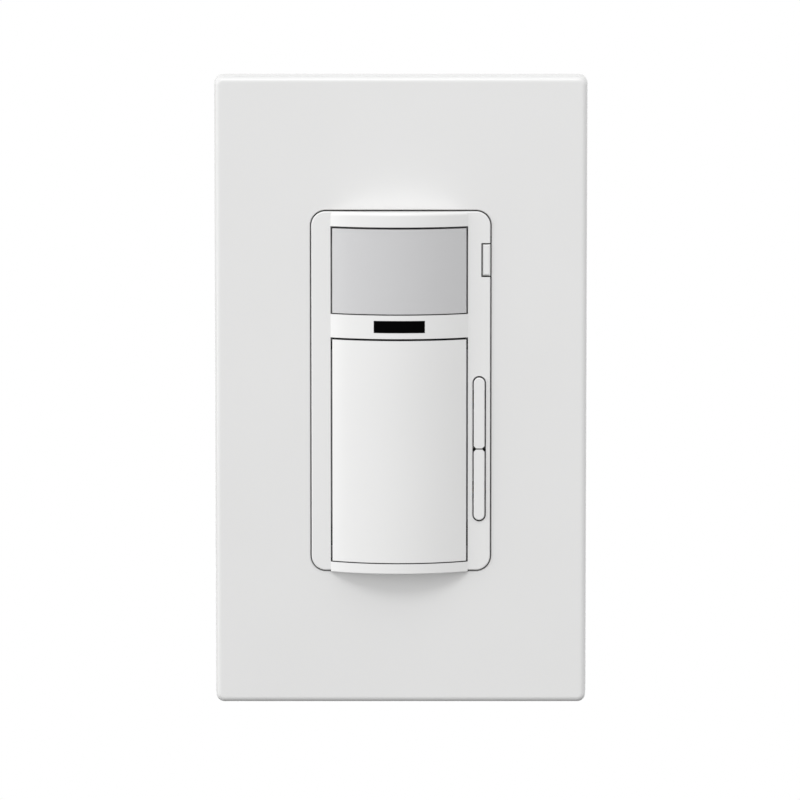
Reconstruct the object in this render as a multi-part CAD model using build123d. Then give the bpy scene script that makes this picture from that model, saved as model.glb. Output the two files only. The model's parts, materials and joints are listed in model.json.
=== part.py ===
from build123d import *
import math
import os

# Motion sensing dimmer switch for a single wall box, with its screwless cover plate.
# Frame: X to the right, Y into the wall, Z up, as seen by someone who faces the switch.
# The origin is on the wall surface, at the centre of the cover plate's opening.
# All lengths are in millimetres and all angles in degrees.

# Cover plate, measured at its back edge on the wall
plate_side_border = 17.8
plate_end_border = 24.8
plate_depth = 6.2
plate_wall = 1.7
plate_face_wall = 1.8
plate_draft = 3.0
plate_corner_r = 1.7
plate_edge_r = 1.0
opening_width = 33.3
opening_height = 66.8
opening_corner_r = 2.8
opening_edge_r = 0.25
collar_wall = 1.2
plate_hook_length = 8.0
plate_hook_wall = 1.1
plate_hook_grip = 0.6
plate_hook_gap = 0.15
plate_rib_wall = 1.0
plate_hook_place_share = 0.62
plate_end_hook_share = 0.5
rib_place_shares = (-0.86, -0.3, 0.3, 0.86)

# Sub-plate that carries the cover plate
adapter_margin = 3.7
adapter_thickness = 1.6
adapter_corner_r = 2.0
adapter_clearance = 0.6
adapter_slot_width = 1.4
adapter_slot_length = 13.0
adapter_edge_chamfer = 0.4

# Mounting strap, which is also the heat sink
strap_thickness = 1.5
strap_side_reach = 4.35
strap_end_inset = 5.8
strap_waist_inset = 4.5
strap_body_margin = 1.6
strap_ear_height = 11.6
strap_corner_r = 1.2
strap_dish = 0.6
strap_bend_run = 1.1
plate_screw_inset = 3.98
screw_line_step = 6.75
box_slot_length = 7.4
ear_slot_width = 1.3
ear_slot_length = 6.0
ear_slot_inset = 5.6

# Fasteners. The box screws and plate screws have a 6-32 thread, 3.5 mm across
thread_r = 1.75
thread_clearance = 0.06
box_head_r = 3.3
box_head_height = 2.0
box_neck_r = 1.45
box_thread_length = 22.0
box_screw_tip = 0.6
slot_width = 0.9
slot_depth = 0.8
retainer_side = 9.0
retainer_thickness = 0.8
retainer_bore_clearance = 0.08
plate_head_r = 3.3
plate_head_height = 1.5
plate_screw_reach = 1.8
housing_screw_r = 1.25
housing_head_r = 2.1
housing_head_height = 1.4
housing_bore_clearance = 0.15

# Bezel, the face frame that fills the cover plate's opening
bezel_gap = 0.18
bezel_proud = 0.4
bezel_wall = 1.6
bezel_skirt = 1.4
bezel_edge_r = 0.25
bulge_edge_r = 0.7
left_flange = 3.54
right_flange = 4.1
bulge_sag = 3.9
bulge_foot = 0.3
top_band = 3.1
lens_height = 15.6
middle_band = 4.9
bottom_band = 1.8
panel_gap = 0.32
panel_top_gap = 0.38
panel_running_gap = 0.06
bezel_hook_width = 3.3
bezel_hook_wall = 1.2
bezel_hook_reach = 2.2
bezel_hook_grip = 0.65
bezel_hook_inset = 6.92
bezel_hook_rise_share = 0.361

# Motion sensor lens
lens_wall = 0.9
lens_rim = 0.65
lens_rim_wall = 0.8
lens_seat_gap = 0.05
lenslet_r = 6.0
lenslet_rise = 0.4
lenslet_columns = 5
lenslet_rows = 3

# Black window and the light pipe behind it
window_width = 9.25
window_height = 2.1
window_drop = 2.0
window_depth = 2.3
window_flange = 0.9
window_gap = 0.08
coring_margin = 1.6
pipe_r = 1.0
pipe_spacing = 5.2
pipe_flange = 0.8
pipe_clearance = 0.4
pipe_end_gap = 0.3

# Push pad, hinged along its top edge
pad_wall = 1.4
pad_back_depth = 0.5
pad_rib_wall = 1.0
pad_rib_depth = 1.6
pad_rib_shares = (0.22, 0.44, 0.66, 0.86)
pad_pin_r = 0.75
pad_pin_reach = 1.9
pad_pin_drop = 1.4
pad_pivot_depth = 1.5
pad_arm_width = 3.0
pad_swing = 1.2
pad_post_r = 1.5
pad_post_drop_share = 0.5737
pad_fin_reach = 2.2
pad_lug_reach = 0.75
pad_lug_depth = 0.9
pad_lug_length = 3.0
pad_lug_rise = 2.6
bearing_clearance = 0.1
bearing_wall = 0.7
snap_share = 0.87
spring_width = 5.0
spring_thickness = 0.3
spring_foot = 4.5
spring_lip = 1.0
spring_rib_number = 2
spring_height_place = 1.8
rivet_r = 0.9
rivet_head_r = 1.5
rivet_head_height = 0.35

# Dimming rocker in the right flange
rocker_width = 2.0
rocker_height = 26.43
rocker_inset = 2.02
rocker_drop_share = 0.3206
rocker_side_gap = 0.24
rocker_end_gap = 0.28
rocker_proud = 0.5
rocker_bar_depth = 1.7
rocker_edge_r = 0.2
rocker_web_width = 1.3
rocker_web_length = 20.0
rocker_web_depth = 1.9
rocker_notch_depth = 0.55
rocker_notch_height = 1.1
rocker_groove = 0.25
rocker_pin_r = 0.7
rocker_pin_side = 0.5
rocker_pivot_depth = 0.9
rocker_bearing_height = 3.6
rocker_post_spacing = 17.0
rocker_post_r = 0.65
rocker_tilt = 2.5
rocker_hole_gap = 0.945
rocker_hole_width = 2.4

# Tactile switches and their plungers
plunger_r = 1.75
plunger_clearance = 0.12
plunger_length = 2.1
plunger_stand = 1.6
actuator_gap = 0.08
actuator_place = 1.0
switch_side = 6.2
small_switch_side = 4.6
small_plunger_r = 1.2
switch_bore_depth = 1.9

# Air-gap tab and its contacts
tab_width = 1.46
tab_height = 5.86
tab_inset = 8.97
tab_gap = 0.2
tab_proud = 0.1
tab_chamfer = 0.3
tab_travel = 3.2
shoulder_width = 1.35
shoulder_margin = 0.75
shoulder_length = 1.5
shoulder_stop_gap = 0.4
tab_leg_end = 2.5
bridge_thickness = 0.6
rivet_contact_r = 0.6
rivet_contact_height = 0.25
contact_gap = 0.06
contact_side = 1.5
contact_foot_side = 2.6
contact_foot_height = 0.4
contact_spacing = 3.9

# Sensor can, its filter and the funnel round it
can_r = 4.1
can_height = 3.9
can_flange_r = 4.6
can_flange_height = 0.6
can_window_width = 4.0
can_window_height = 3.0
can_window_depth = 0.5
filter_gap = 0.1
can_leg_r = 0.25
can_leg_circle_r = 2.6
can_leg_reach = 1.2
baffle_wall = 0.8
baffle_small_side = 11.2
baffle_margin = 0.4

# Boards
board_standoff = 5.4
board_thickness = 1.6
board_edge_gap = 0.4
board_corner_gap = 0.4
power_board_margin = 3.0
hole_clearance = 0.1
connector_pins_count = 5
connector_pitch = 2.54
connector_pin_side = 0.64
connector_body_width = 2.5
connector_body_height = 2.5
connector_drop_share = 0.867
connector_pin_reach = 1.0
led_side = 1.6
led_height = 0.7
chip_width = 7.5
chip_length = 10.3
chip_height = 2.0
chip_rise = 6.0
chip_leg_width = 0.4
chip_leg_pitch = 1.27
chip_leg_reach = 1.3
chip_leg_thickness = 0.25
chip_legs_a_side = 7

# Triac on the back of the strap
triac_width = 10.0
triac_tab_height = 6.4
triac_tab_thickness = 1.2
triac_body_height = 9.2
triac_body_thickness = 4.4
triac_shift = 9.6
triac_rise_share = 0.2424
triac_hole_r = 1.8
triac_hole_drop = 2.9
triac_leg_width = 0.8
triac_leg_thickness = 0.5
triac_leg_pitch = 2.54
triac_leg_drop = 2.4
triac_leg_reach = 0.9
insulator_thickness = 0.3
insulator_margin = 0.8
triac_screw_r = 1.5
triac_head_r = 2.7
triac_head_height = 1.6

# Power parts on the rear board
choke_outer_r = 8.0
choke_inner_r = 4.4
choke_height = 6.0
choke_winding_wall = 0.9
choke_winding_angle = 300.0
choke_board_gap = 0.1
choke_place_shares = (0.25, -0.267)
choke_core_gap = 0.05
turn_count = 12
turn_groove = 0.25
film_width = 12.0
film_length = 6.0
film_height = 10.5
film_place_shares = (-0.453, 0.3)
film_edge = 0.5
electrolytic_r = 4.0
electrolytic_height = 12.0
electrolytic_place_shares = (0.625, 0.783)
electrolytic_groove = 0.3
electrolytic_groove_place = 2.0
varistor_r = 4.4
varistor_thickness = 3.4
varistor_place_shares = (-0.508, 0.817)
varistor_lift = 1.6
varistor_lead_r = 0.3
varistor_lead_spacing = 5.0
fuse_r = 1.7
fuse_length = 6.0
fuse_cap_length = 2.0
fuse_cap_wall = 0.2
fuse_place_shares = (0.547, 0.487)
fuse_height = 2.2
fuse_leg_width = 1.2
fuse_leg_thickness = 0.5

# Rear housing
housing_end_inset = 0.4
housing_depth = 32.0
housing_wall = 1.8
housing_corner_r = 2.0
housing_edge_chamfer = 0.8
column_r = 2.4
column_inset = 2.6
pocket_depth = 5.4
pocket_length = 32.0
divider_wall = 1.6
support_side = 3.4
support_length = 5.2
support_place_shares = (0.703, 0.9)

# Wiring terminals in the side pockets
terminal_spacing = 16.0
terminal_place = 16.4
terminal_side = 9.0
terminal_thickness = 0.9
terminal_lip = 1.6
terminal_screw_r = 1.6
terminal_head_r = 3.1
terminal_head_height = 1.9
wire_room = 1.0
clamp_side = 7.0
clamp_thickness = 0.9
bus_width = 6.0
bus_thickness = 0.8
ground_head_r = 2.9
ground_head_height = 2.2
ground_washer_r = 2.6
ground_screw_x = 13.0
ground_gap = 0.4

# One overrun for cuts, and one bite for parts of a piece that are joined
overrun = 2.0
bite = 0.4

# Two levels nearer than this count as one
touch = 0.01

# Levels along Y, worked out from the sizes above
ear_front_y = -strap_thickness
strap_front_y = strap_dish - strap_thickness
strap_back_y = strap_dish
adapter_front_y = ear_front_y - adapter_thickness
plate_front_y = -plate_depth
plate_inner_y = plate_front_y + plate_face_wall
bezel_front_y = plate_front_y - bezel_proud
bezel_inner_y = bezel_front_y + bezel_wall
bulge_tip_y = bezel_front_y - bulge_sag
board_y = strap_back_y + board_standoff
board_back_y = board_y + board_thickness
housing_back_y = strap_back_y + housing_depth
housing_floor_y = housing_back_y - housing_wall
power_back_y = housing_floor_y - support_length
power_y = power_back_y - board_thickness

# Outer sizes that follow the cover plate's opening
plate_width = opening_width + 2 * plate_side_border
plate_height = opening_height + 2 * plate_end_border
strap_width = opening_width + 2 * strap_side_reach
strap_height = plate_height - 2 * strap_end_inset
strap_waist_width = strap_width - 2 * strap_waist_inset
strap_body_height = opening_height + 2 * strap_body_margin
housing_height = opening_height - 2 * housing_end_inset
power_board_height = housing_height - 2 * power_board_margin
plate_screw_z = strap_height / 2 - plate_screw_inset
box_screw_z = plate_screw_z - screw_line_step

# Places in X and Z of the bezel and of the panels in it
bezel_width = opening_width - 2 * bezel_gap
bezel_height = opening_height - 2 * bezel_gap
bezel_x1 = bezel_width / 2
bezel_z1 = bezel_height / 2
skirt_x1 = bezel_x1 - bezel_skirt
skirt_z1 = bezel_z1 - bezel_skirt
hole_x0 = left_flange - bezel_x1
hole_x1 = bezel_x1 - right_flange
bulge_x = (hole_x0 + hole_x1) / 2
bulge_r = ((hole_x1 - hole_x0) ** 2 / 4 + bulge_sag ** 2) / (2 * bulge_sag)
bulge_centre_y = bulge_tip_y + bulge_r
panel_x0 = hole_x0 + panel_gap
panel_x1 = hole_x1 - panel_gap
lens_z1 = bezel_z1 - top_band
lens_z0 = lens_z1 - lens_height
pad_z1 = lens_z0 - middle_band
pad_z0 = -bezel_z1 + bottom_band
lens_z = (lens_z0 + lens_z1) / 2
window_z = lens_z0 - window_drop - panel_gap
window_x0 = bulge_x - window_width / 2
window_x1 = bulge_x + window_width / 2
pad_pivot_y = bezel_inner_y + pad_pivot_depth
panel_foot_gap = (pad_pivot_y - bulge_tip_y) * math.sin(math.radians(pad_swing)) + panel_running_gap
pad_pivot_z = pad_z1 - pad_pin_drop
pad_post_z = pad_z1 - pad_post_drop_share * (pad_z1 - pad_z0)
pad_rib_y = bulge_tip_y + pad_wall + pad_rib_depth
rocker_x = bezel_x1 - rocker_inset
rocker_z = -rocker_drop_share * bezel_z1
rocker_pivot_y = bezel_inner_y + rocker_pivot_depth
rocker_post_sweep = (strap_back_y - rocker_pivot_y) * math.sin(math.radians(rocker_tilt))
rocker_hole_length = 2 * (rocker_post_r + rocker_hole_gap + rocker_post_sweep)
rocker_slot_x0 = rocker_x - rocker_width / 2 - rocker_side_gap
rocker_slot_x1 = rocker_x + rocker_width / 2 + rocker_side_gap
tab_x0 = bezel_x1 - tab_width
tab_z = bezel_z1 - tab_inset
tab_z0 = tab_z - tab_height / 2
tab_z1 = tab_z + tab_height / 2
bezel_hook_zs = (bezel_hook_inset - bezel_z1, bezel_hook_rise_share * bezel_z1)
post_tip_y = actuator_place - actuator_gap
column_x = strap_width / 2 - column_inset
column_z = housing_height / 2 - column_inset
pocket_floor_x = strap_width / 2 - pocket_depth
bus_x = pocket_floor_x - housing_wall
power_board_x1 = bus_x - bus_thickness - board_edge_gap / 2
terminal_y = strap_back_y + terminal_place

# Places of the parts on the two boards
triac_top_z = -triac_rise_share * housing_height / 2
connector_z = -connector_drop_share * power_board_height / 2


def board_place(shares):
    """A place on the power board, from its shares of the board's half width and half height."""
    return shares[0] * power_board_x1, shares[1] * power_board_height / 2


choke_x, choke_z = board_place(choke_place_shares)
film_x, film_z = board_place(film_place_shares)
electrolytic_x, electrolytic_z = board_place(electrolytic_place_shares)
varistor_x, varistor_z = board_place(varistor_place_shares)
fuse_x, fuse_z = board_place(fuse_place_shares)
support_x, support_z = board_place(support_place_shares)


def slab(sketch, front_y, back_y, taper=0):
    """A sketch drawn in X and Z, drawn out along Y between two levels; it narrows to the front."""
    return extrude(Plane.XZ.offset(-back_y) * sketch, amount=back_y - front_y, taper=taper)


def block(x0, x1, front_y, back_y, z0, z1):
    """A rectangular bar between two places on each axis."""
    face = Pos((x0 + x1) / 2, (z0 + z1) / 2) * Rectangle(x1 - x0, z1 - z0)
    return slab(face, front_y, back_y)


def rod(x, z, r, front_y, back_y):
    """A round bar along Y."""
    return slab(Pos(x, z) * Circle(r), front_y, back_y)


def pin_x(y, z, r, x0, x1):
    """A round bar along X."""
    return extrude(Plane.YZ.offset(x0) * (Pos(y, z) * Circle(r)), amount=x1 - x0)


def bowed(inset, x0, x1, back_y, z0, z1, behind=0):
    """A bar under the bowed front: its front lies on the bow, inset from it, and its back is flat.

    With behind set, the back is a second bow that lies that much further in.
    """
    front_y = bulge_tip_y - overrun
    strip = Pos((x0 + x1) / 2, (front_y + back_y) / 2) * Rectangle(x1 - x0, back_y - front_y)
    section = strip & (Pos(bulge_x, bulge_centre_y) * Circle(bulge_r - inset))
    if behind:
        section -= Pos(bulge_x, bulge_centre_y) * Circle(bulge_r - inset - behind)
    return extrude(Plane.XY.offset(z0) * section, amount=z1 - z0)


def bow_y(x, inset):
    """Level of the bowed surface that lies inset from the front, at a place in X."""
    return bulge_centre_y - math.sqrt((bulge_r - inset) ** 2 - (x - bulge_x) ** 2)


def cap(z0, z1, wall, rim_y):
    """A bowed cap, open at the back, as the lens and the pad are."""
    outer = bowed(0, panel_x0, panel_x1, rim_y, z0, z1)
    hollow = bowed(wall, panel_x0 + wall, panel_x1 - wall, rim_y + overrun, z0 + wall, z1 - wall)
    return outer - hollow


def rim_edges(solid, level_y, half_x, half_z):
    """The edges of a solid that lie in one plane across Y, within a rectangle round the Y axis."""

    def on_rim(edge):
        box = edge.bounding_box()
        flat = abs(box.min.Y - level_y) < touch and abs(box.max.Y - level_y) < touch
        return flat and max(-box.min.X, box.max.X) < half_x and max(-box.min.Z, box.max.Z) < half_z

    return solid.edges().filter_by(on_rim)


def screw_slot(x, z, r, front_y):
    """The driver slot in a screw head, to be cut out of it."""
    half = slot_width / 2
    return block(x - r, x + r, front_y - overrun, front_y + slot_depth, z - half, z + half)


def wall_plate():
    """Screwless cover plate: a drafted shell with a collar, ribs and hooks for the sub-plate."""
    outline = RectangleRounded(plate_width, plate_height, plate_corner_r)
    shell = slab(outline, plate_front_y, 0, plate_draft)
    shell = fillet(shell.faces().sort_by(Axis.Y)[0].edges(), plate_edge_r)
    room = Rectangle(plate_width - 2 * plate_wall, plate_height - 2 * plate_wall)
    shell -= slab(room, plate_inner_y, 0, plate_draft)
    collar_outline = RectangleRounded(
        opening_width + 2 * collar_wall,
        opening_height + 2 * collar_wall,
        opening_corner_r + collar_wall,
    )
    shell += slab(collar_outline, plate_inner_y - bite, adapter_front_y)
    opening = RectangleRounded(opening_width, opening_height, opening_corner_r)
    shell -= slab(opening, plate_front_y - overrun, overrun)
    wall_x = plate_width / 2 - plate_wall / 2
    wall_z = plate_height / 2 - plate_wall / 2
    edge_x = plate_width / 2 - adapter_margin
    edge_z = plate_height / 2 - adapter_margin
    hook_y0 = ear_front_y + plate_hook_gap
    hook_y1 = hook_y0 + plate_hook_wall
    half = plate_hook_length / 2
    for side in (-1, 1):
        for end in (-1, 1):
            z = end * plate_height / 2 * plate_hook_place_share
            xs = sorted((side * (edge_x - plate_hook_grip), side * wall_x))
            shell += block(xs[0], xs[1], hook_y0, hook_y1, z - half, z + half)
            x = end * plate_width / 2 * plate_end_hook_share
            zs = sorted((side * (edge_z - plate_hook_grip), side * wall_z))
            shell += block(x - half, x + half, hook_y0, hook_y1, zs[0], zs[1])
        for share in rib_place_shares:
            z = share * plate_height / 2
            xs = sorted((side * (opening_width / 2 + collar_wall), side * wall_x))
            if abs(z) > opening_height / 2 + collar_wall:
                xs = sorted((side * plate_width / 4, side * wall_x))
            rib_half = plate_rib_wall / 2
            shell += block(xs[0], xs[1], plate_inner_y - bite, adapter_front_y, z - rib_half, z + rib_half)
    rim = rim_edges(shell, plate_front_y, opening_width / 2 + bite, opening_height / 2 + bite)
    return fillet(rim, opening_edge_r)


def plate_adapter():
    """Sub-plate: flat, screwed on the strap's ears, with slots that let its long edges give."""
    width = plate_width - 2 * adapter_margin
    height = plate_height - 2 * adapter_margin
    plate = slab(RectangleRounded(width, height, adapter_corner_r), adapter_front_y, ear_front_y)
    plate = chamfer(plate.faces().sort_by(Axis.Y)[0].edges(), adapter_edge_chamfer)
    hole = RectangleRounded(
        opening_width + 2 * adapter_clearance,
        opening_height + 2 * adapter_clearance,
        opening_corner_r + adapter_clearance,
    )
    plate -= slab(hole, adapter_front_y - overrun, overrun)
    slot = Rectangle(adapter_slot_width, adapter_slot_length)
    slot_x = width / 2 - 2 * plate_hook_grip - adapter_slot_width
    for side in (-1, 1):
        for end in (-1, 1):
            z = end * plate_height / 2 * plate_hook_place_share
            plate -= slab(Pos(side * slot_x, z) * slot, adapter_front_y - overrun, overrun)
        head_room = box_head_r + adapter_clearance
        plate -= rod(0, side * box_screw_z, head_room, adapter_front_y - overrun, overrun)
        plate -= countersunk(side * plate_screw_z, thread_clearance)
    return plate


def countersunk(z, growth):
    """A flat-head screw's body on the plate-screw line, grown by a clearance."""
    head = Plane.XZ.offset(-(adapter_front_y + plate_head_height)) * (Pos(0, z) * Circle(thread_r + growth))
    top = Plane.XZ.offset(-adapter_front_y) * (Pos(0, z) * Circle(plate_head_r + growth))
    body = loft([head, top])
    return body + rod(0, z, thread_r + growth, adapter_front_y + plate_head_height, plate_screw_reach)


def plate_screws():
    """The two flat-head screws that hold the sub-plate on the strap."""
    screws = []
    for side in (-1, 1):
        z = side * plate_screw_z
        screws.append(countersunk(z, 0) - screw_slot(0, z, plate_head_r, adapter_front_y))
    return Compound(screws)


def box_screws():
    """The two screws for the wall box: pan head, plain neck in the strap and a full thread behind it."""
    screws = []
    thread_y = strap_back_y + retainer_thickness + retainer_bore_clearance
    end_y = thread_y + box_thread_length
    for side in (-1, 1):
        z = side * box_screw_z
        head = rod(0, z, box_head_r, strap_front_y - box_head_height, strap_front_y)
        head = chamfer(head.faces().sort_by(Axis.Y)[0].edges(), box_head_height / 3)
        head -= screw_slot(0, z, box_head_r, strap_front_y - box_head_height)
        neck = rod(0, z, box_neck_r, strap_front_y, thread_y)
        thread = rod(0, z, thread_r, thread_y, end_y)
        point = Plane.XZ.offset(-end_y) * (Pos(0, z) * Circle(thread_r))
        point = extrude(point, amount=-box_screw_tip, taper=math.degrees(math.atan(1)))
        screws.append(head + neck + thread + point)
    return Compound(screws)


def screw_retainers():
    """Square fibre washers behind the strap that keep the box screws from falling out."""
    washers = []
    for side in (-1, 1):
        z = side * box_screw_z
        sheet = Rectangle(retainer_side, retainer_side) - Circle(box_neck_r + retainer_bore_clearance)
        washers.append(slab(Pos(0, z) * sheet, strap_back_y, strap_back_y + retainer_thickness))
    return Compound(washers)


def baffle_sides(y):
    """Outer width and height of the sensor's funnel at a level along Y."""
    front_y = bezel_inner_y + lens_seat_gap + lens_rim_wall
    share = (y - front_y) / (board_y - front_y)
    wide = panel_x1 - panel_x0 - 2 * baffle_margin
    tall = lens_height - 2 * baffle_margin
    width = wide + (baffle_small_side - wide) * share
    height = tall + (baffle_small_side - tall) * share
    return width, height


def strap():
    """Mounting strap: dished between its ears, with slots, tapped holes and cut-outs for what passes it."""
    bend_z = box_screw_z + box_head_r + thread_clearance
    run_z = bend_z + strap_bend_run
    end_z = strap_height / 2
    upper_line = [(0, end_z), (0, run_z), (strap_dish, bend_z)]
    back_line = upper_line + [(y, -z) for y, z in reversed(upper_line)]
    front_line = [(y - strap_thickness, z) for y, z in reversed(back_line)]
    profile = make_face(Polyline(*back_line, *front_line, close=True))
    bar = extrude(Plane.YZ.offset(-strap_width / 2) * profile, amount=strap_width)
    outline = Rectangle(strap_waist_width, strap_height) + RectangleRounded(
        strap_width, strap_body_height, strap_corner_r
    )
    for side in (-1, 1):
        ear_z = side * (strap_height - strap_ear_height) / 2
        outline += Pos(0, ear_z) * RectangleRounded(strap_width, strap_ear_height, strap_corner_r)
    bar &= slab(outline, -overrun - strap_thickness, overrun + strap_dish)
    cut_y0 = -strap_thickness - overrun
    cut_y1 = strap_dish + overrun
    box_slot = SlotOverall(box_slot_length, 2 * (box_neck_r + housing_bore_clearance))
    ear_slot = Rectangle(ear_slot_width, ear_slot_length)
    for side in (-1, 1):
        bar -= slab(Pos(0, side * box_screw_z) * box_slot, cut_y0, cut_y1)
        bar -= rod(0, side * plate_screw_z, thread_r + thread_clearance, cut_y0, cut_y1)
        for end in (-1, 1):
            x = side * (strap_width / 2 - ear_slot_inset)
            z = end * (strap_height - strap_ear_height) / 2
            bar -= slab(Pos(x, z) * ear_slot, cut_y0, cut_y1)
            bar -= rod(
                side * column_x, end * column_z, housing_screw_r + thread_clearance, cut_y0, cut_y1
            )
    width, height = baffle_sides(strap_front_y)
    room = RectangleRounded(width + 2 * baffle_margin, height + 2 * baffle_margin, strap_corner_r)
    bar -= slab(Pos(bulge_x, lens_z) * room, cut_y0, cut_y1)
    pipe_slot = SlotOverall(pipe_spacing + 2 * (pipe_r + pipe_clearance), 2 * (pipe_r + pipe_clearance))
    bar -= slab(Pos(bulge_x, window_z) * pipe_slot, cut_y0, cut_y1)
    bar -= rod(bulge_x, pad_post_z, pad_post_r + 2 * pipe_clearance, cut_y0, cut_y1)
    post_hole = Rectangle(rocker_hole_width, rocker_hole_length)
    for side in (-1, 1):
        z = rocker_z + side * rocker_post_spacing / 2
        bar -= slab(Pos(rocker_x, z) * post_hole, cut_y0, cut_y1)
        for hook_z in bezel_hook_zs:
            outer = bezel_x1
            inner = bezel_x1 - 2 * bezel_hook_wall
            xs = sorted((side * inner, side * outer))
            half = bezel_hook_width / 2 + pipe_clearance
            bar -= block(xs[0], xs[1], cut_y0, cut_y1, hook_z - half, hook_z + half)
    margin = shoulder_margin + 2 * tab_gap
    shoulder_x0 = tab_x0 - shoulder_width - tab_gap
    bar -= block(
        shoulder_x0, bezel_x1 + 2 * tab_gap, cut_y0, cut_y1, tab_z0 - margin, tab_z1 + margin
    )
    bar -= rod(-triac_shift, triac_hole_z(), triac_screw_r + thread_clearance, cut_y0, cut_y1)
    bar -= rod(bulge_x, spring_foot_z(), rivet_r + thread_clearance, cut_y0, cut_y1)
    bar -= rod(ground_screw_x, ground_z(), thread_r + thread_clearance, cut_y0, cut_y1)
    return bar


def triac_hole_z():
    """Height of the hole in the triac's tab."""
    return triac_top_z - triac_hole_drop


def spring_foot_z():
    """Height of the rivet that holds the pad's leaf spring on the strap."""
    return pad_z0 + spring_height_place + spring_foot / 2


def ground_z():
    """Height of the earth screw, just below the rear housing."""
    return -(housing_height / 2 + ground_head_r + ground_gap)


def bezel():
    """Face frame: flat flanges, a bowed middle, a skirt that stands on the strap, bearings and hooks."""
    outline = RectangleRounded(bezel_width, bezel_height, opening_corner_r - bezel_gap)
    frame = slab(outline, bezel_front_y, strap_front_y)
    frame = fillet(frame.faces().sort_by(Axis.Y)[0].edges(), bezel_edge_r)
    bow = bowed(0, hole_x0, hole_x1, bezel_inner_y, -bezel_z1, bezel_z1)
    ends = bow.edges().filter_by(GeomType.CIRCLE)
    frame += fillet(ends, bulge_edge_r)
    foot = bowed(0, hole_x0, hole_x1, bezel_front_y, -bezel_z1 - bulge_foot, -bezel_z1 + bulge_edge_r)
    frame += chamfer(foot.edges().filter_by(GeomType.CIRCLE).sort_by(Axis.Z)[0], bulge_foot / 2)
    room = RectangleRounded(2 * skirt_x1, 2 * skirt_z1, opening_corner_r - bezel_gap - bezel_skirt)
    frame -= slab(room, bezel_inner_y, strap_front_y + overrun)
    core_half = window_height / 2 + 2 * window_gap
    core_x0 = hole_x0 + coring_margin
    core_x1 = hole_x1 - coring_margin
    frame -= bowed(bezel_wall, core_x0, core_x1, overrun, window_z - core_half, window_z + core_half)
    hole_front_y = bulge_tip_y - overrun
    for z0, z1 in ((lens_z0, lens_z1), (pad_z0, pad_z1)):
        frame -= block(
            hole_x0, hole_x1, hole_front_y, bezel_inner_y + bite, z0 - panel_foot_gap, z1 + panel_top_gap
        )
    frame -= block(
        window_x0 - window_gap,
        window_x1 + window_gap,
        hole_front_y,
        bezel_inner_y,
        window_z - window_height / 2 - window_gap,
        window_z + window_height / 2 + window_gap,
    )
    frame += pad_bearings()
    frame += rocker_bearing()
    frame -= rocker_slot()
    frame -= pin_x(
        rocker_pivot_y,
        rocker_z,
        rocker_pin_r + bearing_clearance,
        hole_x1 - overrun,
        rocker_slot_x1 + rocker_pin_side,
    )
    frame -= block(
        tab_x0 - tab_gap, bezel_x1 + overrun, bezel_front_y - overrun, strap_front_y + overrun,
        tab_z0 - tab_gap, tab_z1 + tab_gap,
    )
    for side in (-1, 1):
        for hook_z in bezel_hook_zs:
            frame += bezel_hook(side, hook_z)
    return frame


def rocker_slot():
    """The round-ended slot for the rocker, cut through the flange and the skirt."""
    slot = SlotOverall(
        rocker_height + 2 * rocker_end_gap, rocker_width + 2 * rocker_side_gap, rotation=90
    )
    return slab(Pos(rocker_x, rocker_z) * slot, bezel_front_y - overrun, strap_front_y + overrun)


def pad_bearings():
    """Two blocks behind the flanges with snap-in bores for the pad's pins."""
    bore_r = pad_pin_r + bearing_clearance
    half = bore_r + bearing_wall
    spans = ((-skirt_x1 - bite, hole_x0 - bearing_clearance), (hole_x1 + bearing_clearance, skirt_x1 + bite))
    blocks = []
    for x0, x1 in spans:
        body = block(
            x0, x1, bezel_inner_y - bite, pad_pivot_y + half, pad_pivot_z - half, pad_pivot_z + half
        )
        body -= pin_x(pad_pivot_y, pad_pivot_z, bore_r, x0 - overrun, x1 + overrun)
        mouth = bore_r * snap_share
        body -= block(
            x0 - overrun, x1 + overrun, pad_pivot_y, pad_pivot_y + 2 * half,
            pad_pivot_z - mouth, pad_pivot_z + mouth,
        )
        blocks.append(body)
    return blocks


def rocker_bearing():
    """The rib between pad and rocker that holds the rocker's inner pin."""
    half = rocker_bearing_height / 2
    return block(
        hole_x1, rocker_slot_x0 + bite, bezel_inner_y - bite, rocker_pivot_y + half,
        rocker_z - half, rocker_z + half,
    )


def bezel_hook(side, z):
    """A springy hook on the skirt that passes the strap and catches behind it."""
    outer = bezel_x1 - thread_clearance
    inner = outer - bezel_hook_wall
    catch_y = strap_back_y + plate_hook_gap
    tip_y = strap_back_y + bezel_hook_reach
    outline = [
        (inner, strap_front_y - bite),
        (outer, strap_front_y - bite),
        (outer, catch_y),
        (outer + bezel_hook_grip, catch_y),
        (outer, tip_y),
        (inner, tip_y),
    ]
    face = make_face(Polyline(*[(side * x, y) for x, y in outline], close=True))
    hook = extrude(Plane.XY.offset(z - bezel_hook_width / 2) * face, amount=bezel_hook_width)
    return hook


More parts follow.
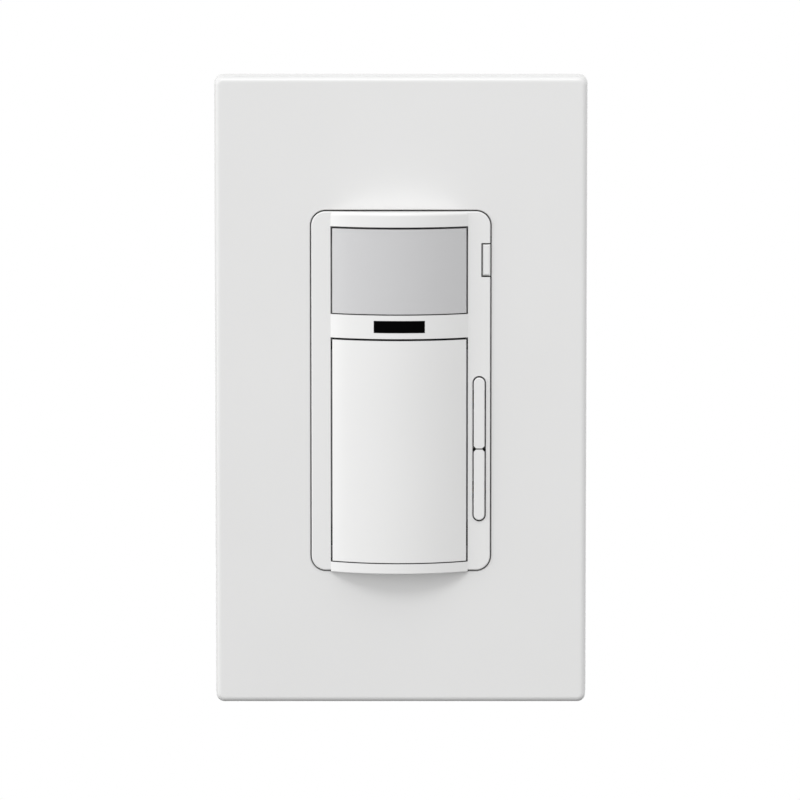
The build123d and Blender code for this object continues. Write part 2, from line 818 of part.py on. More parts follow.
def pir_lens():
    """Lens: a thin bowed cap with a rim behind the bezel and an array of lenslets inside."""
    rim_y = bezel_inner_y + lens_seat_gap
    lens = cap(lens_z0, lens_z1, lens_wall, rim_y + lens_rim_wall)
    width = panel_x1 - panel_x0
    rim = Rectangle(width + 2 * lens_rim, lens_height + 2 * lens_rim)
    rim -= Rectangle(width - 2 * lens_wall, lens_height - 2 * lens_wall)
    lens += slab(Pos(bulge_x, lens_z) * rim, rim_y, rim_y + lens_rim_wall)
    cell_x = (width - 2 * lens_wall) / lenslet_columns
    cell_z = (lens_height - 2 * lens_wall) / lenslet_rows
    inner_r = bulge_r - lens_wall
    caps = []
    for column in range(lenslet_columns):
        x = (column - (lenslet_columns - 1) / 2) * cell_x
        angle = math.degrees(math.asin(x / inner_r))
        for row in range(lenslet_rows):
            z = lens_z + (row - (lenslet_rows - 1) / 2) * cell_z
            depth = inner_r - lenslet_rise + lenslet_r
            turn = Pos(bulge_x, bulge_centre_y, z) * Rot(0, 0, angle)
            ball = turn * Pos(0, -depth, 0) * Sphere(lenslet_r)
            caps.append(ball)
    inside = bowed(lens_wall / 2, panel_x0 + lens_wall / 2, panel_x1 - lens_wall / 2, rim_y,
                   lens_z0 + lens_wall / 2, lens_z1 - lens_wall / 2)
    for ball in caps:
        lens += ball & inside
    return lens


def indicator_window():
    """Black window: a bowed plug, flush with the bezel, with a lip behind it at either end."""
    half = window_height / 2
    plug = bowed(0, window_x0, window_x1, overrun, window_z - half, window_z + half, window_depth)
    lip = bowed(
        bezel_wall + window_gap,
        window_x0 - window_flange,
        window_x1 + window_flange,
        overrun,
        window_z - half,
        window_z + half,
        window_depth - bezel_wall - window_gap,
    )
    return plug + lip


def light_pipe():
    """Clear light pipe: two rods from the window to the board, on a flange in front of the strap."""
    start_y = bow_y(bulge_x + pipe_spacing / 2 + pipe_r, window_depth) + pipe_end_gap
    end_y = board_y - led_height - pipe_end_gap
    flange = SlotOverall(pipe_spacing + 4 * pipe_r, 4 * pipe_r)
    pipe = slab(Pos(bulge_x, window_z) * flange, strap_front_y - pipe_flange, strap_front_y)
    for side in (-1, 1):
        pipe += rod(bulge_x + side * pipe_spacing / 2, window_z, pipe_r, start_y, end_y)
    return pipe


def push_pad():
    """Push pad: a bowed cap with ribs, two hinge pins, two stop lugs and the post for its switch."""
    back_y = bezel_inner_y + pad_back_depth
    pad = cap(pad_z0, pad_z1, pad_wall, back_y)
    height = pad_z1 - pad_z0
    for share in pad_rib_shares:
        z = pad_z1 - share * height
        pad += bowed(pad_wall / 2, panel_x0 + pad_wall / 2, panel_x1 - pad_wall / 2, pad_rib_y,
                     z - pad_rib_wall / 2, z + pad_rib_wall / 2)
    half = pad_rib_wall / 2
    post_y = bulge_tip_y + pad_wall
    pad += rod(bulge_x, pad_post_z, pad_post_r, post_y - bite, post_tip_y)
    for side in (-1, 1):
        fin_x = bulge_x + side * pad_post_r
        pad += block(fin_x - half, fin_x + half, post_y - bite, back_y,
                     pad_post_z - pad_fin_reach, pad_post_z + pad_fin_reach)
        edge = panel_x1 if side > 0 else panel_x0
        arm_z0 = pad_pivot_z - pad_pin_drop
        xs = sorted((edge, edge - side * pad_wall))
        pad += block(xs[0], xs[1], back_y - bite, pad_pivot_y + pad_pin_drop, arm_z0, arm_z0 + pad_arm_width)
        xs = sorted((edge - side * bite, edge + side * pad_pin_reach))
        pad += pin_x(pad_pivot_y, pad_pivot_z, pad_pin_r, xs[0], xs[1])
        xs = sorted((edge - side * pad_wall, edge + side * pad_lug_reach))
        lug_y = bezel_inner_y + bearing_clearance
        lug_z = pad_z0 + pad_lug_rise
        pad += block(xs[0], xs[1], lug_y, lug_y + pad_lug_depth, lug_z, lug_z + pad_lug_length)
    return pad


def pad_spring():
    """Leaf spring: a strip riveted on the strap that rises to the pad's rib and returns it."""
    foot_z = spring_foot_z()
    top_y = strap_front_y - spring_thickness
    tip_y = pad_rib_y + actuator_gap + spring_thickness
    tip_z = pad_z1 - pad_rib_shares[spring_rib_number] * (pad_z1 - pad_z0)
    line = [
        (strap_front_y, foot_z - spring_foot / 2),
        (strap_front_y, foot_z + spring_foot / 2),
        (tip_y, tip_z),
        (tip_y + spring_thickness, tip_z + spring_lip),
    ]
    upper = [(y - spring_thickness, z) for y, z in reversed(line)]
    strip = make_face(Polyline(*line, *upper, close=True))
    leaf = extrude(Plane.YZ.offset(bulge_x - spring_width / 2) * strip, amount=spring_width)
    leaf += rod(bulge_x, foot_z, rivet_head_r, top_y - rivet_head_height, top_y + spring_thickness / 2)
    return leaf + rod(bulge_x, foot_z, rivet_r, top_y, strap_back_y)


def dim_rocker():
    """Rocker: a slim bar with a waist at its pivot, a web, two pins and two posts behind it."""
    front_y = bezel_front_y - rocker_proud
    bar_back_y = front_y + rocker_bar_depth
    web_back_y = bar_back_y + rocker_web_depth
    bar = slab(
        Pos(rocker_x, rocker_z) * SlotOverall(rocker_height, rocker_width, rotation=90), front_y, bar_back_y
    )
    bar = fillet(bar.faces().sort_by(Axis.Y)[0].edges(), rocker_edge_r)
    half = rocker_notch_height / 2
    for side in (-1, 1):
        edge = rocker_x + side * (rocker_width / 2 + bite)
        tip = rocker_x + side * (rocker_width / 2 - rocker_notch_depth)
        corners = ((edge, rocker_z - half - bite), (edge, rocker_z + half + bite), (tip, rocker_z))
        notch = make_face(Polyline(*corners, close=True))
        bar -= slab(notch, front_y - overrun, bar_back_y)
    bar -= block(rocker_x - rocker_width, rocker_x + rocker_width, front_y - overrun, front_y + rocker_groove,
                 rocker_z - rocker_groove / 2, rocker_z + rocker_groove / 2)
    web_half = rocker_web_length / 2
    web_x = rocker_web_width / 2
    bar += block(rocker_x - web_x, rocker_x + web_x, bar_back_y - bite, web_back_y,
                 rocker_z - web_half, rocker_z + web_half)
    bar += pin_x(
        rocker_pivot_y,
        rocker_z,
        rocker_pin_r,
        hole_x1 + bearing_clearance,
        rocker_slot_x1 + rocker_pin_side - bearing_clearance,
    )
    for side in (-1, 1):
        z = rocker_z + side * rocker_post_spacing / 2
        bar += rod(rocker_x, z, rocker_post_r, web_back_y - bite, post_tip_y)
    return bar


def plunger(x, z, r):
    """The moving button of a tactile switch."""
    return rod(x, z, r, actuator_place, actuator_place + plunger_stand + plunger_length / 3)


def switch_body(x, z, side, r):
    """The square body of a tactile switch, bored for its plunger."""
    front_y = actuator_place + plunger_stand
    body = slab(Pos(x, z) * Rectangle(side, side), front_y, board_y)
    body = chamfer(body.edges().filter_by(Axis.Y), side / 10)
    return body - rod(x, z, r + plunger_clearance, front_y - overrun, front_y + switch_bore_depth)


def switch_bodies():
    """The three tactile switches on the control board."""
    bodies = [switch_body(bulge_x, pad_post_z, switch_side, plunger_r)]
    for side in (-1, 1):
        z = rocker_z + side * rocker_post_spacing / 2
        bodies.append(switch_body(rocker_x, z, small_switch_side, small_plunger_r))
    return Compound(bodies)


def pad_switch_plunger():
    """Plunger under the pad's post."""
    return plunger(bulge_x, pad_post_z, plunger_r)


def brighten_plunger():
    """Plunger under the rocker's upper post."""
    return plunger(rocker_x, rocker_z + rocker_post_spacing / 2, small_plunger_r)


def dim_plunger():
    """Plunger under the rocker's lower post."""
    return plunger(rocker_x, rocker_z - rocker_post_spacing / 2, small_plunger_r)


def airgap_slider():
    """Pull tab: its face, a shoulder that stops it behind the bezel and a leg that carries the bridge."""
    front_y = bezel_front_y - tab_proud
    shoulder_y0 = bezel_inner_y + tab_travel + shoulder_stop_gap
    shoulder_y1 = shoulder_y0 + shoulder_length
    tab = block(tab_x0, bezel_x1, front_y, shoulder_y1, tab_z0, tab_z1)
    tab = chamfer(tab.faces().sort_by(Axis.Y)[0].edges(), tab_chamfer)
    tab += block(tab_x0 - shoulder_width, tab_x0 + bite, shoulder_y0, shoulder_y1, tab_z0, tab_z1)
    tab += block(tab_x0 - shoulder_width, skirt_x1 - tab_gap, shoulder_y0, shoulder_y1,
                 tab_z0 - shoulder_margin, tab_z1 + shoulder_margin)
    leg_x0 = tab_x0 - shoulder_width / 2
    return tab + block(leg_x0, bezel_x1, shoulder_y1 - bite, strap_back_y + tab_leg_end, tab_z0, tab_z1)


def contact_heights():
    """Heights of the two air-gap contacts."""
    return [tab_z + side * contact_spacing / 2 for side in (-1, 1)]


def airgap_bridge():
    """Moving contact on the slider's leg: a brass bar with two contact buttons."""
    y0 = strap_back_y + tab_leg_end
    y1 = y0 + bridge_thickness
    bar = block(tab_x0 - shoulder_width / 2, bezel_x1, y0, y1, tab_z0, tab_z1)
    x = tab_x0 + tab_width / 4
    for z in contact_heights():
        bar += rod(x, z, rivet_contact_r, y1 - bite, y1 + rivet_contact_height)
    return bar


def airgap_contacts():
    """Fixed contacts on the control board, one under each button of the bridge."""
    top_y = strap_back_y + tab_leg_end + bridge_thickness + rivet_contact_height + contact_gap
    x = tab_x0 + tab_width / 4
    posts = []
    for z in contact_heights():
        post = slab(Pos(x, z) * Rectangle(contact_side, contact_side), top_y, board_y)
        foot = Pos(x, z) * Rectangle(contact_foot_side, contact_side)
        posts.append(post + slab(foot, board_y - contact_foot_height, board_y))
    return Compound(posts)


def can_leg_places():
    """Places of the sensor's three legs."""
    places = []
    for turn in (0, 90, 180):
        angle = math.radians(turn)
        across = can_leg_circle_r * math.cos(angle)
        up = can_leg_circle_r * math.sin(angle)
        places.append((bulge_x + across, lens_z + up))
    return places


def pir_sensor():
    """Sensor can: a flanged metal cap with a window and three legs through the board."""
    flange_y = board_y - can_flange_height
    front_y = flange_y - can_height
    can = rod(bulge_x, lens_z, can_flange_r, flange_y, board_y)
    cap_body = rod(bulge_x, lens_z, can_r, front_y, flange_y)
    cap_body = chamfer(cap_body.faces().sort_by(Axis.Y)[0].edges(), can_window_depth)
    can += cap_body
    window = Pos(bulge_x, lens_z) * Rectangle(can_window_width, can_window_height)
    can -= slab(window, front_y - overrun, front_y + can_window_depth)
    for x, z in can_leg_places():
        can += rod(x, z, can_leg_r, board_y, board_back_y + can_leg_reach)
    return can


def pir_filter():
    """Dark filter set in the can's window."""
    front_y = board_y - can_flange_height - can_height
    width = can_window_width - 2 * filter_gap
    height = can_window_height - 2 * filter_gap
    sheet = Pos(bulge_x, lens_z) * Rectangle(width, height)
    return slab(sheet, front_y + filter_gap, front_y + can_window_depth)


def light_baffle():
    """Funnel between the lens and the sensor that keeps stray light and draughts off it."""
    front_y = bezel_inner_y + lens_seat_gap + lens_rim_wall
    faces = []
    rooms = []
    for y in (front_y, board_y):
        width, height = baffle_sides(y)
        plane = Plane.XZ.offset(-y)
        centre = Pos(bulge_x, lens_z)
        faces.append(plane * (centre * Rectangle(width, height)))
        rooms.append(plane * (centre * Rectangle(width - 2 * baffle_wall, height - 2 * baffle_wall)))
    return loft(faces) - loft(rooms)


def connector_places():
    """Places in X of the pins between the two boards."""
    return [
        (i - (connector_pins_count - 1) / 2) * connector_pitch for i in range(connector_pins_count)
    ]


def control_board():
    """Front circuit board, cleared round the housing's corner columns."""
    half_x = strap_width / 2 - housing_wall - board_edge_gap
    half_z = housing_height / 2 - housing_wall - board_edge_gap
    outline = Rectangle(2 * half_x, 2 * half_z)
    for side in (-1, 1):
        for end in (-1, 1):
            corner = Pos(side * column_x, end * column_z) * Circle(column_r + board_corner_gap)
            outline -= corner
            size = 2 * (column_inset + board_corner_gap)
            outline -= Pos(side * half_x, end * half_z) * Rectangle(size, size)
    for x, z in can_leg_places():
        outline -= Pos(x, z) * Circle(can_leg_r + hole_clearance)
    for x in connector_places():
        outline -= Pos(x, connector_z) * Rectangle(
            connector_pin_side + 2 * hole_clearance, connector_pin_side + 2 * hole_clearance
        )
    for x in triac_leg_places():
        outline -= Pos(x, triac_leg_z()) * Circle(triac_leg_width / 2 + 2 * hole_clearance)
    return slab(outline, board_y, board_back_y)


def status_led():
    """Indicator lamp under one rod of the light pipe."""
    place = Pos(bulge_x - pipe_spacing / 2, window_z)
    return slab(place * Rectangle(led_side, led_side), board_y - led_height, board_y)


def light_cell():
    """Daylight cell under the other rod of the light pipe."""
    place = Pos(bulge_x + pipe_spacing / 2, window_z)
    return slab(place * Rectangle(led_side, led_side), board_y - led_height, board_y)


def controller_chip():
    """Controller on the back of the control board, with a row of bent legs on each side."""
    z = -chip_rise
    body_y = board_back_y + chip_leg_thickness
    chip = slab(Pos(0, z) * Rectangle(chip_width, chip_length), body_y, body_y + chip_height)
    chip = chamfer(chip.faces().sort_by(Axis.Y)[-1].edges(), chip_leg_thickness)
    for side in (-1, 1):
        for i in range(chip_legs_a_side):
            leg_z = z + (i - (chip_legs_a_side - 1) / 2) * chip_leg_pitch
            xs = sorted((side * (chip_width / 2 - bite), side * (chip_width / 2 + chip_leg_reach)))
            chip += block(xs[0], xs[1], board_back_y, body_y + chip_leg_thickness,
                          leg_z - chip_leg_width / 2, leg_z + chip_leg_width / 2)
    return chip


def board_connector():
    """The pin strip behind the control board and the socket strip on the power board."""
    width = connector_pins_count * connector_pitch
    strip = Pos(0, connector_z) * Rectangle(width, connector_body_width)
    for x in connector_places():
        side = connector_pin_side + hole_clearance
        strip -= Pos(x, connector_z) * Rectangle(side, side)
    front = slab(strip, board_back_y, board_back_y + connector_body_height)
    back = slab(strip, power_y - connector_body_height, power_y)
    return Compound([front, back])


def connector_pins():
    """Square pins that join the two boards."""
    pins = []
    for x in connector_places():
        face = Pos(x, connector_z) * Rectangle(connector_pin_side, connector_pin_side)
        pins.append(slab(face, board_y - connector_pin_reach, power_back_y + connector_pin_reach))
    return Compound(pins)


def power_board():
    """Rear circuit board on the housing's posts."""
    outline = Rectangle(2 * power_board_x1, power_board_height)
    for x in connector_places():
        side = connector_pin_side + 2 * hole_clearance
        outline -= Pos(x, connector_z) * Rectangle(side, side)
    for side in (-1, 1):
        x = varistor_x + side * varistor_lead_spacing / 2
        outline -= Pos(x, varistor_z) * Circle(varistor_lead_r + hole_clearance)
    return slab(outline, power_y, power_back_y)


def triac_leg_places():
    """Places in X of the triac's three legs."""
    return [-triac_shift + i * triac_leg_pitch for i in (-1, 0, 1)]


def triac_leg_z():
    """Height at which the triac's legs turn back to the board."""
    return triac_top_z - triac_tab_height - triac_body_height - triac_leg_drop


def triac():
    """Power device: metal tab, moulded body and three legs bent into the board."""
    tab_y = strap_back_y + insulator_thickness
    top_z = triac_top_z
    body_z1 = top_z - triac_tab_height
    body_z0 = body_z1 - triac_body_height
    x0 = -triac_shift - triac_width / 2
    x1 = -triac_shift + triac_width / 2
    device = block(x0, x1, tab_y, tab_y + triac_tab_thickness, body_z0, top_z)
    device = chamfer(device.edges().filter_by(Axis.Y).sort_by(Axis.Z)[-2:], triac_tab_thickness)
    device -= rod(-triac_shift, triac_hole_z(), triac_hole_r, tab_y - overrun, tab_y + overrun)
    device += block(x0, x1, tab_y + triac_tab_thickness / 3, tab_y + triac_body_thickness, body_z0, body_z1)
    leg_y = tab_y + triac_body_thickness / 2
    leg_z = triac_leg_z()
    for x in triac_leg_places():
        leg_x0 = x - triac_leg_width / 2
        leg_x1 = x + triac_leg_width / 2
        half = triac_leg_thickness / 2
        device += block(leg_x0, leg_x1, leg_y - half, leg_y + half, leg_z - half, body_z0 + bite)
        leg_end_y = board_back_y + triac_leg_reach
        device += block(leg_x0, leg_x1, leg_y - half, leg_end_y, leg_z - half, leg_z + half)
    return device


def triac_insulator():
    """Thin heat-conducting sheet between the triac and the strap."""
    height = triac_tab_height + triac_body_height + 2 * insulator_margin
    z = triac_top_z - (triac_tab_height + triac_body_height) / 2
    sheet = Pos(-triac_shift, z) * Rectangle(triac_width + 2 * insulator_margin, height)
    sheet -= Pos(-triac_shift, triac_hole_z()) * Circle(triac_hole_r)
    return slab(sheet, strap_back_y, strap_back_y + insulator_thickness)


def triac_screw():
    """Screw that presses the triac's tab on the strap."""
    seat_y = strap_back_y + insulator_thickness + triac_tab_thickness
    screw = rod(-triac_shift, triac_hole_z(), triac_head_r, seat_y, seat_y + triac_head_height)
    screw = chamfer(screw.faces().sort_by(Axis.Y)[-1].edges(), bite)
    return screw + rod(-triac_shift, triac_hole_z(), triac_screw_r, strap_front_y, seat_y)


def ring(outer_r, inner_r, front_y, back_y):
    """A ring of square section round the choke's axis."""
    face = Pos(choke_x, choke_z) * (Circle(outer_r) - Circle(inner_r))
    return slab(face, front_y, back_y)


def choke_levels():
    """Front and back of the choke's core."""
    back_y = power_y - choke_winding_wall - choke_board_gap
    return back_y - choke_height, back_y


def choke_core():
    """Ring core of the choke."""
    front_y, back_y = choke_levels()
    return ring(choke_outer_r - choke_core_gap, choke_inner_r + choke_core_gap,
                front_y + choke_core_gap, back_y - choke_core_gap)


def choke_winding():
    """Winding of the choke: a close layer of wire round most of the core, grooved between its turns."""
    front_y, back_y = choke_levels()
    wall = choke_winding_wall
    body = ring(choke_outer_r + wall, choke_inner_r - wall, front_y - wall, back_y + wall)
    body -= ring(choke_outer_r, choke_inner_r, front_y, back_y)
    reach = choke_outer_r + overrun
    gap_half = math.radians((360 - choke_winding_angle) / 2)
    wedge = make_face(Polyline((0, 0), (reach * math.cos(gap_half), reach * math.sin(gap_half)),
                               (reach * math.cos(gap_half), -reach * math.sin(gap_half)), close=True))
    body -= slab(Pos(choke_x, choke_z) * wedge, front_y - overrun, back_y + overrun)
    step = choke_winding_angle / turn_count
    for i in range(1, turn_count):
        angle = (360 - choke_winding_angle) / 2 + i * step
        groove = Pos((choke_inner_r + choke_outer_r) / 2, 0) * Rectangle(2 * choke_outer_r, turn_groove)
        groove = Pos(choke_x, choke_z) * (Rot(0, 0, angle) * groove)
        body -= slab(groove, front_y - wall - overrun, front_y - wall + turn_groove)
    return body


def film_capacitor():
    """Boxed film capacitor."""
    case = slab(Pos(film_x, film_z) * Rectangle(film_width, film_length), power_y - film_height, power_y)
    return chamfer(case.faces().sort_by(Axis.Y)[0].edges(), film_edge)


def electrolytic_capacitor():
    """Round can with a rolled groove near its foot."""
    front_y = power_y - electrolytic_height
    can = rod(electrolytic_x, electrolytic_z, electrolytic_r, front_y, power_y)
    can = chamfer(can.faces().sort_by(Axis.Y)[0].edges(), electrolytic_groove)
    groove_y = power_y - electrolytic_groove_place
    groove = Circle(electrolytic_r + overrun) - Circle(electrolytic_r - electrolytic_groove)
    return can - slab(Pos(electrolytic_x, electrolytic_z) * groove, groove_y - electrolytic_groove, groove_y)


def varistor():
    """Disc varistor on two leads."""
    disc_y = power_y - varistor_lift - varistor_r
    plane = Plane.XY.offset(varistor_z - varistor_thickness / 2)
    disc = plane * (Pos(varistor_x, disc_y) * Circle(varistor_r))
    body = extrude(disc, amount=varistor_thickness)
    body = chamfer(body.edges().filter_by(GeomType.CIRCLE), varistor_thickness / 4)
    for side in (-1, 1):
        x = varistor_x + side * varistor_lead_spacing / 2
        body += rod(x, varistor_z, varistor_lead_r, disc_y, power_back_y + connector_pin_reach)
    return body


def fuse_tube():
    """Ceramic tube of the fuse."""
    return pin_x(power_y - fuse_height, fuse_z, fuse_r, fuse_x - fuse_length / 2, fuse_x + fuse_length / 2)


def fuse_caps():
    """End caps of the fuse, each on its clip leg."""
    caps = []
    y = power_y - fuse_height
    for side in (-1, 1):
        inner = fuse_x + side * (fuse_length / 2 - fuse_cap_length)
        outer = fuse_x + side * (fuse_length / 2 + fuse_cap_wall)
        xs = sorted((inner, outer))
        shell = pin_x(y, fuse_z, fuse_r + fuse_cap_wall, xs[0], xs[1])
        leg_x = outer - side * fuse_leg_thickness
        legs = sorted((outer, leg_x))
        shell += block(legs[0], legs[1], y, power_y, fuse_z - fuse_leg_width / 2, fuse_z + fuse_leg_width / 2)
        caps.append(shell - fuse_tube())
    return Compound(caps)


def pocket_outline(inset):
    """Outline of the housing behind its shoulders, with the terminal pockets at its sides."""
    half_x = strap_width / 2 - inset
    outline = Rectangle(2 * half_x, housing_height - 2 * inset)
    if inset == 0:
        outline = RectangleRounded(2 * half_x, housing_height, housing_corner_r)
    for side in (-1, 1):
        depth = pocket_depth + overrun
        x = side * (pocket_floor_x - inset + depth / 2)
        outline -= Pos(x, 0) * Rectangle(depth, pocket_length + 2 * inset)
    return outline


def rear_housing():
    """Moulded box behind the strap, with terminal pockets, corner columns and posts for the rear board."""
    shoulder_y = board_back_y + housing_wall
    body = slab(RectangleRounded(strap_width, housing_height, housing_corner_r), strap_back_y, shoulder_y)
    body += slab(pocket_outline(0), shoulder_y - bite, housing_back_y)
    body = chamfer(body.faces().sort_by(Axis.Y)[-1].edges(), housing_edge_chamfer)
    room = Rectangle(strap_width - 2 * housing_wall, housing_height - 2 * housing_wall)
    body -= slab(room, strap_back_y - overrun, board_back_y)
    body -= slab(pocket_outline(housing_wall), board_back_y - bite, housing_floor_y)
    for side in (-1, 1):
        xs = sorted((side * (pocket_floor_x - bite), side * strap_width / 2))
        body += block(xs[0], xs[1], shoulder_y - bite, housing_back_y - housing_edge_chamfer,
                      -divider_wall / 2, divider_wall / 2)
        for end in (-1, 1):
            column = rod(side * column_x, end * column_z, column_r, strap_back_y, housing_back_y - bite)
            body += column
            support = Pos(side * support_x, end * support_z) * Rectangle(support_side, support_side)
            body += slab(support, power_back_y, housing_floor_y + bite)
            terminal_z = end * terminal_spacing / 2
            xs = sorted((side * (bus_x - overrun), side * (pocket_floor_x + overrun)))
            body -= pin_x(terminal_y, terminal_z, terminal_screw_r + thread_clearance, xs[0], xs[1])
    for side in (-1, 1):
        for end in (-1, 1):
            x = side * column_x
            z = end * column_z
            body -= rod(x, z, housing_screw_r + housing_bore_clearance, strap_back_y - overrun,
                        housing_back_y + overrun)
            body -= rod(x, z, housing_head_r + housing_bore_clearance, housing_back_y - housing_head_height,
                        housing_back_y + overrun)
    return body


def housing_screws():
    """Four long screws from the back of the housing into the strap."""
    screws = []
    head_y = housing_back_y - housing_head_height
    for side in (-1, 1):
        for end in (-1, 1):
            x = side * column_x
            z = end * column_z
            head = rod(x, z, housing_head_r, head_y, housing_back_y)
            head -= block(x - housing_head_r, x + housing_head_r, housing_back_y - slot_depth,
                          housing_back_y + overrun, z - slot_width / 2, z + slot_width / 2)
            screws.append(head + rod(x, z, housing_screw_r, strap_front_y, head_y))
    return Compound(screws)


def terminal_stack():
    """Levels along X of a terminal, from the pocket's floor outwards: plate, clamp, head and its end."""
    plate_x = pocket_floor_x + terminal_thickness
    clamp_x = plate_x + wire_room
    head_x = clamp_x + clamp_thickness
    return plate_x, clamp_x, head_x, head_x + terminal_head_height


def terminal_plate(side, z):
    """Contact plate on the pocket's floor, with a lip towards the strap that keeps the wire in."""
    plate_x, clamp_x, head_x, end_x = terminal_stack()
    half = terminal_side / 2
    xs = sorted((side * pocket_floor_x, side * plate_x))
    plate = block(xs[0], xs[1], terminal_y - half, terminal_y + half, z - half, z + half)
    xs = sorted((side * pocket_floor_x, side * (plate_x + terminal_lip)))
    lip_y = terminal_y - half
    plate += block(xs[0], xs[1], lip_y, lip_y + terminal_thickness, z - half, z + half)
    xs = sorted((side * (pocket_floor_x - overrun), side * (plate_x + overrun)))
    return plate - pin_x(terminal_y, z, terminal_screw_r + thread_clearance, xs[0], xs[1])


def terminal_pair(side):
    """The two contact plates in one pocket."""
    return Compound([terminal_plate(side, end * terminal_spacing / 2) for end in (-1, 1)])


def terminal_screw_pair(side):
    """The two terminal screws in one pocket."""
    plate_x, clamp_x, head_x, end_x = terminal_stack()
    screws = []
    for end in (-1, 1):
        z = end * terminal_spacing / 2
        xs = sorted((side * head_x, side * end_x))
        screw = pin_x(terminal_y, z, terminal_head_r, xs[0], xs[1])
        xs = sorted((side * (end_x - slot_depth), side * (end_x + overrun)))
        screw -= block(xs[0], xs[1], terminal_y - terminal_head_r, terminal_y + terminal_head_r,
                       z - slot_width / 2, z + slot_width / 2)
        xs = sorted((side * (bus_x - bus_thickness), side * head_x))
        screws.append(screw + pin_x(terminal_y, z, terminal_screw_r, xs[0], xs[1]))
    return Compound(screws)


def wire_clamps():
    """Square clamping plates under the heads of the terminal screws."""
    plate_x, clamp_x, head_x, end_x = terminal_stack()
    half = clamp_side / 2
    clamps = []
    for side in (-1, 1):
        for end in (-1, 1):
            z = end * terminal_spacing / 2
            xs = sorted((side * clamp_x, side * head_x))
            clamp = block(xs[0], xs[1], terminal_y - half, terminal_y + half, z - half, z + half)
            xs = sorted((side * (clamp_x - overrun), side * (head_x + overrun)))
            bore = pin_x(terminal_y, z, terminal_screw_r + thread_clearance, xs[0], xs[1])
            clamps.append(clamp - bore)
    return Compound(clamps)


def bus_strips():
    """Brass strips inside the housing, from each terminal screw down to the rear board."""
    strips = []
    half = bus_width / 2
    for side in (-1, 1):
        for end in (-1, 1):
            z = end * terminal_spacing / 2
            xs = sorted((side * (bus_x - bus_thickness), side * bus_x))
            strip = block(xs[0], xs[1], terminal_y - half, power_back_y, z - half, z + half)
            xs = sorted((side * (bus_x - overrun), side * (bus_x + overrun)))
            bore = pin_x(terminal_y, z, terminal_screw_r + thread_clearance, xs[0], xs[1])
            strips.append(strip - bore)
    return Compound(strips)


def ground_screw():
    """Hexagonal earth screw on the back of the strap, with its washer face."""
    z = ground_z()
    head_y = strap_back_y + ground_head_height / 4
    screw = slab(
        Pos(ground_screw_x, z) * RegularPolygon(ground_head_r, 6), head_y, strap_back_y + ground_head_height
    )
    screw += rod(ground_screw_x, z, ground_washer_r, strap_back_y, head_y)
    return screw + rod(ground_screw_x, z, thread_r, strap_front_y, strap_back_y)


NODES = {
    "wall_plate": wall_plate,
    "plate_adapter": plate_adapter,
    "plate_screws": plate_screws,
    "box_screws": box_screws,
    "screw_retainers": screw_retainers,
    "strap": strap,
    "bezel": bezel,
    "pir_lens": pir_lens,
    "indicator_window": indicator_window,
    "light_pipe": light_pipe,
    "push_pad": push_pad,
    "pad_spring": pad_spring,
    "dim_rocker": dim_rocker,
    "switch_bodies": switch_bodies,
    "pad_switch_plunger": pad_switch_plunger,
    "brighten_plunger": brighten_plunger,
    "dim_plunger": dim_plunger,
    "airgap_slider": airgap_slider,
    "airgap_bridge": airgap_bridge,
    "airgap_contacts": airgap_contacts,
    "light_baffle": light_baffle,
    "pir_sensor": pir_sensor,
    "pir_filter": pir_filter,
    "control_board": control_board,
    "status_led": status_led,
    "light_cell": light_cell,
    "controller_chip": controller_chip,
    "board_connector": board_connector,
    "connector_pins": connector_pins,
    "power_board": power_board,
    "triac": triac,
    "triac_insulator": triac_insulator,
    "triac_screw": triac_screw,
    "choke_core": choke_core,
    "choke_winding": choke_winding,
    "film_capacitor": film_capacitor,
    "electrolytic_capacitor": electrolytic_capacitor,
    "varistor": varistor,
    "fuse_tube": fuse_tube,
    "fuse_caps": fuse_caps,
    "rear_housing": rear_housing,
    "housing_screws": housing_screws,
    "live_terminals": lambda: terminal_pair(1),
    "neutral_terminals": lambda: terminal_pair(-1),
    "live_screws": lambda: terminal_screw_pair(1),
    "neutral_screws": lambda: terminal_screw_pair(-1),
    "wire_clamps": wire_clamps,
    "bus_strips": bus_strips,
    "ground_screw": ground_screw,
}

os.makedirs("parts", exist_ok=True)
for name, make in NODES.items():
    export_step(make(), "parts/" + name + ".step")
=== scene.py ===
"""Looks of the motion sensing dimmer switch: finishes, fine meshes, studio light and the camera.

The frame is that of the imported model, with X to the right, Y into the wall and Z up. The studio is in metres.
The pieces' own sizes are in millimetres, and MM turns them into metres.
"""

import json
import logging
import math
from dataclasses import dataclass
from enum import Enum
from itertools import product
from typing import NamedTuple

import bmesh
import bpy
from bmesh.types import BMesh
from bpy.types import Material, Node, NodeSocket, NodeTree, Object
from mathutils import Matrix, Vector

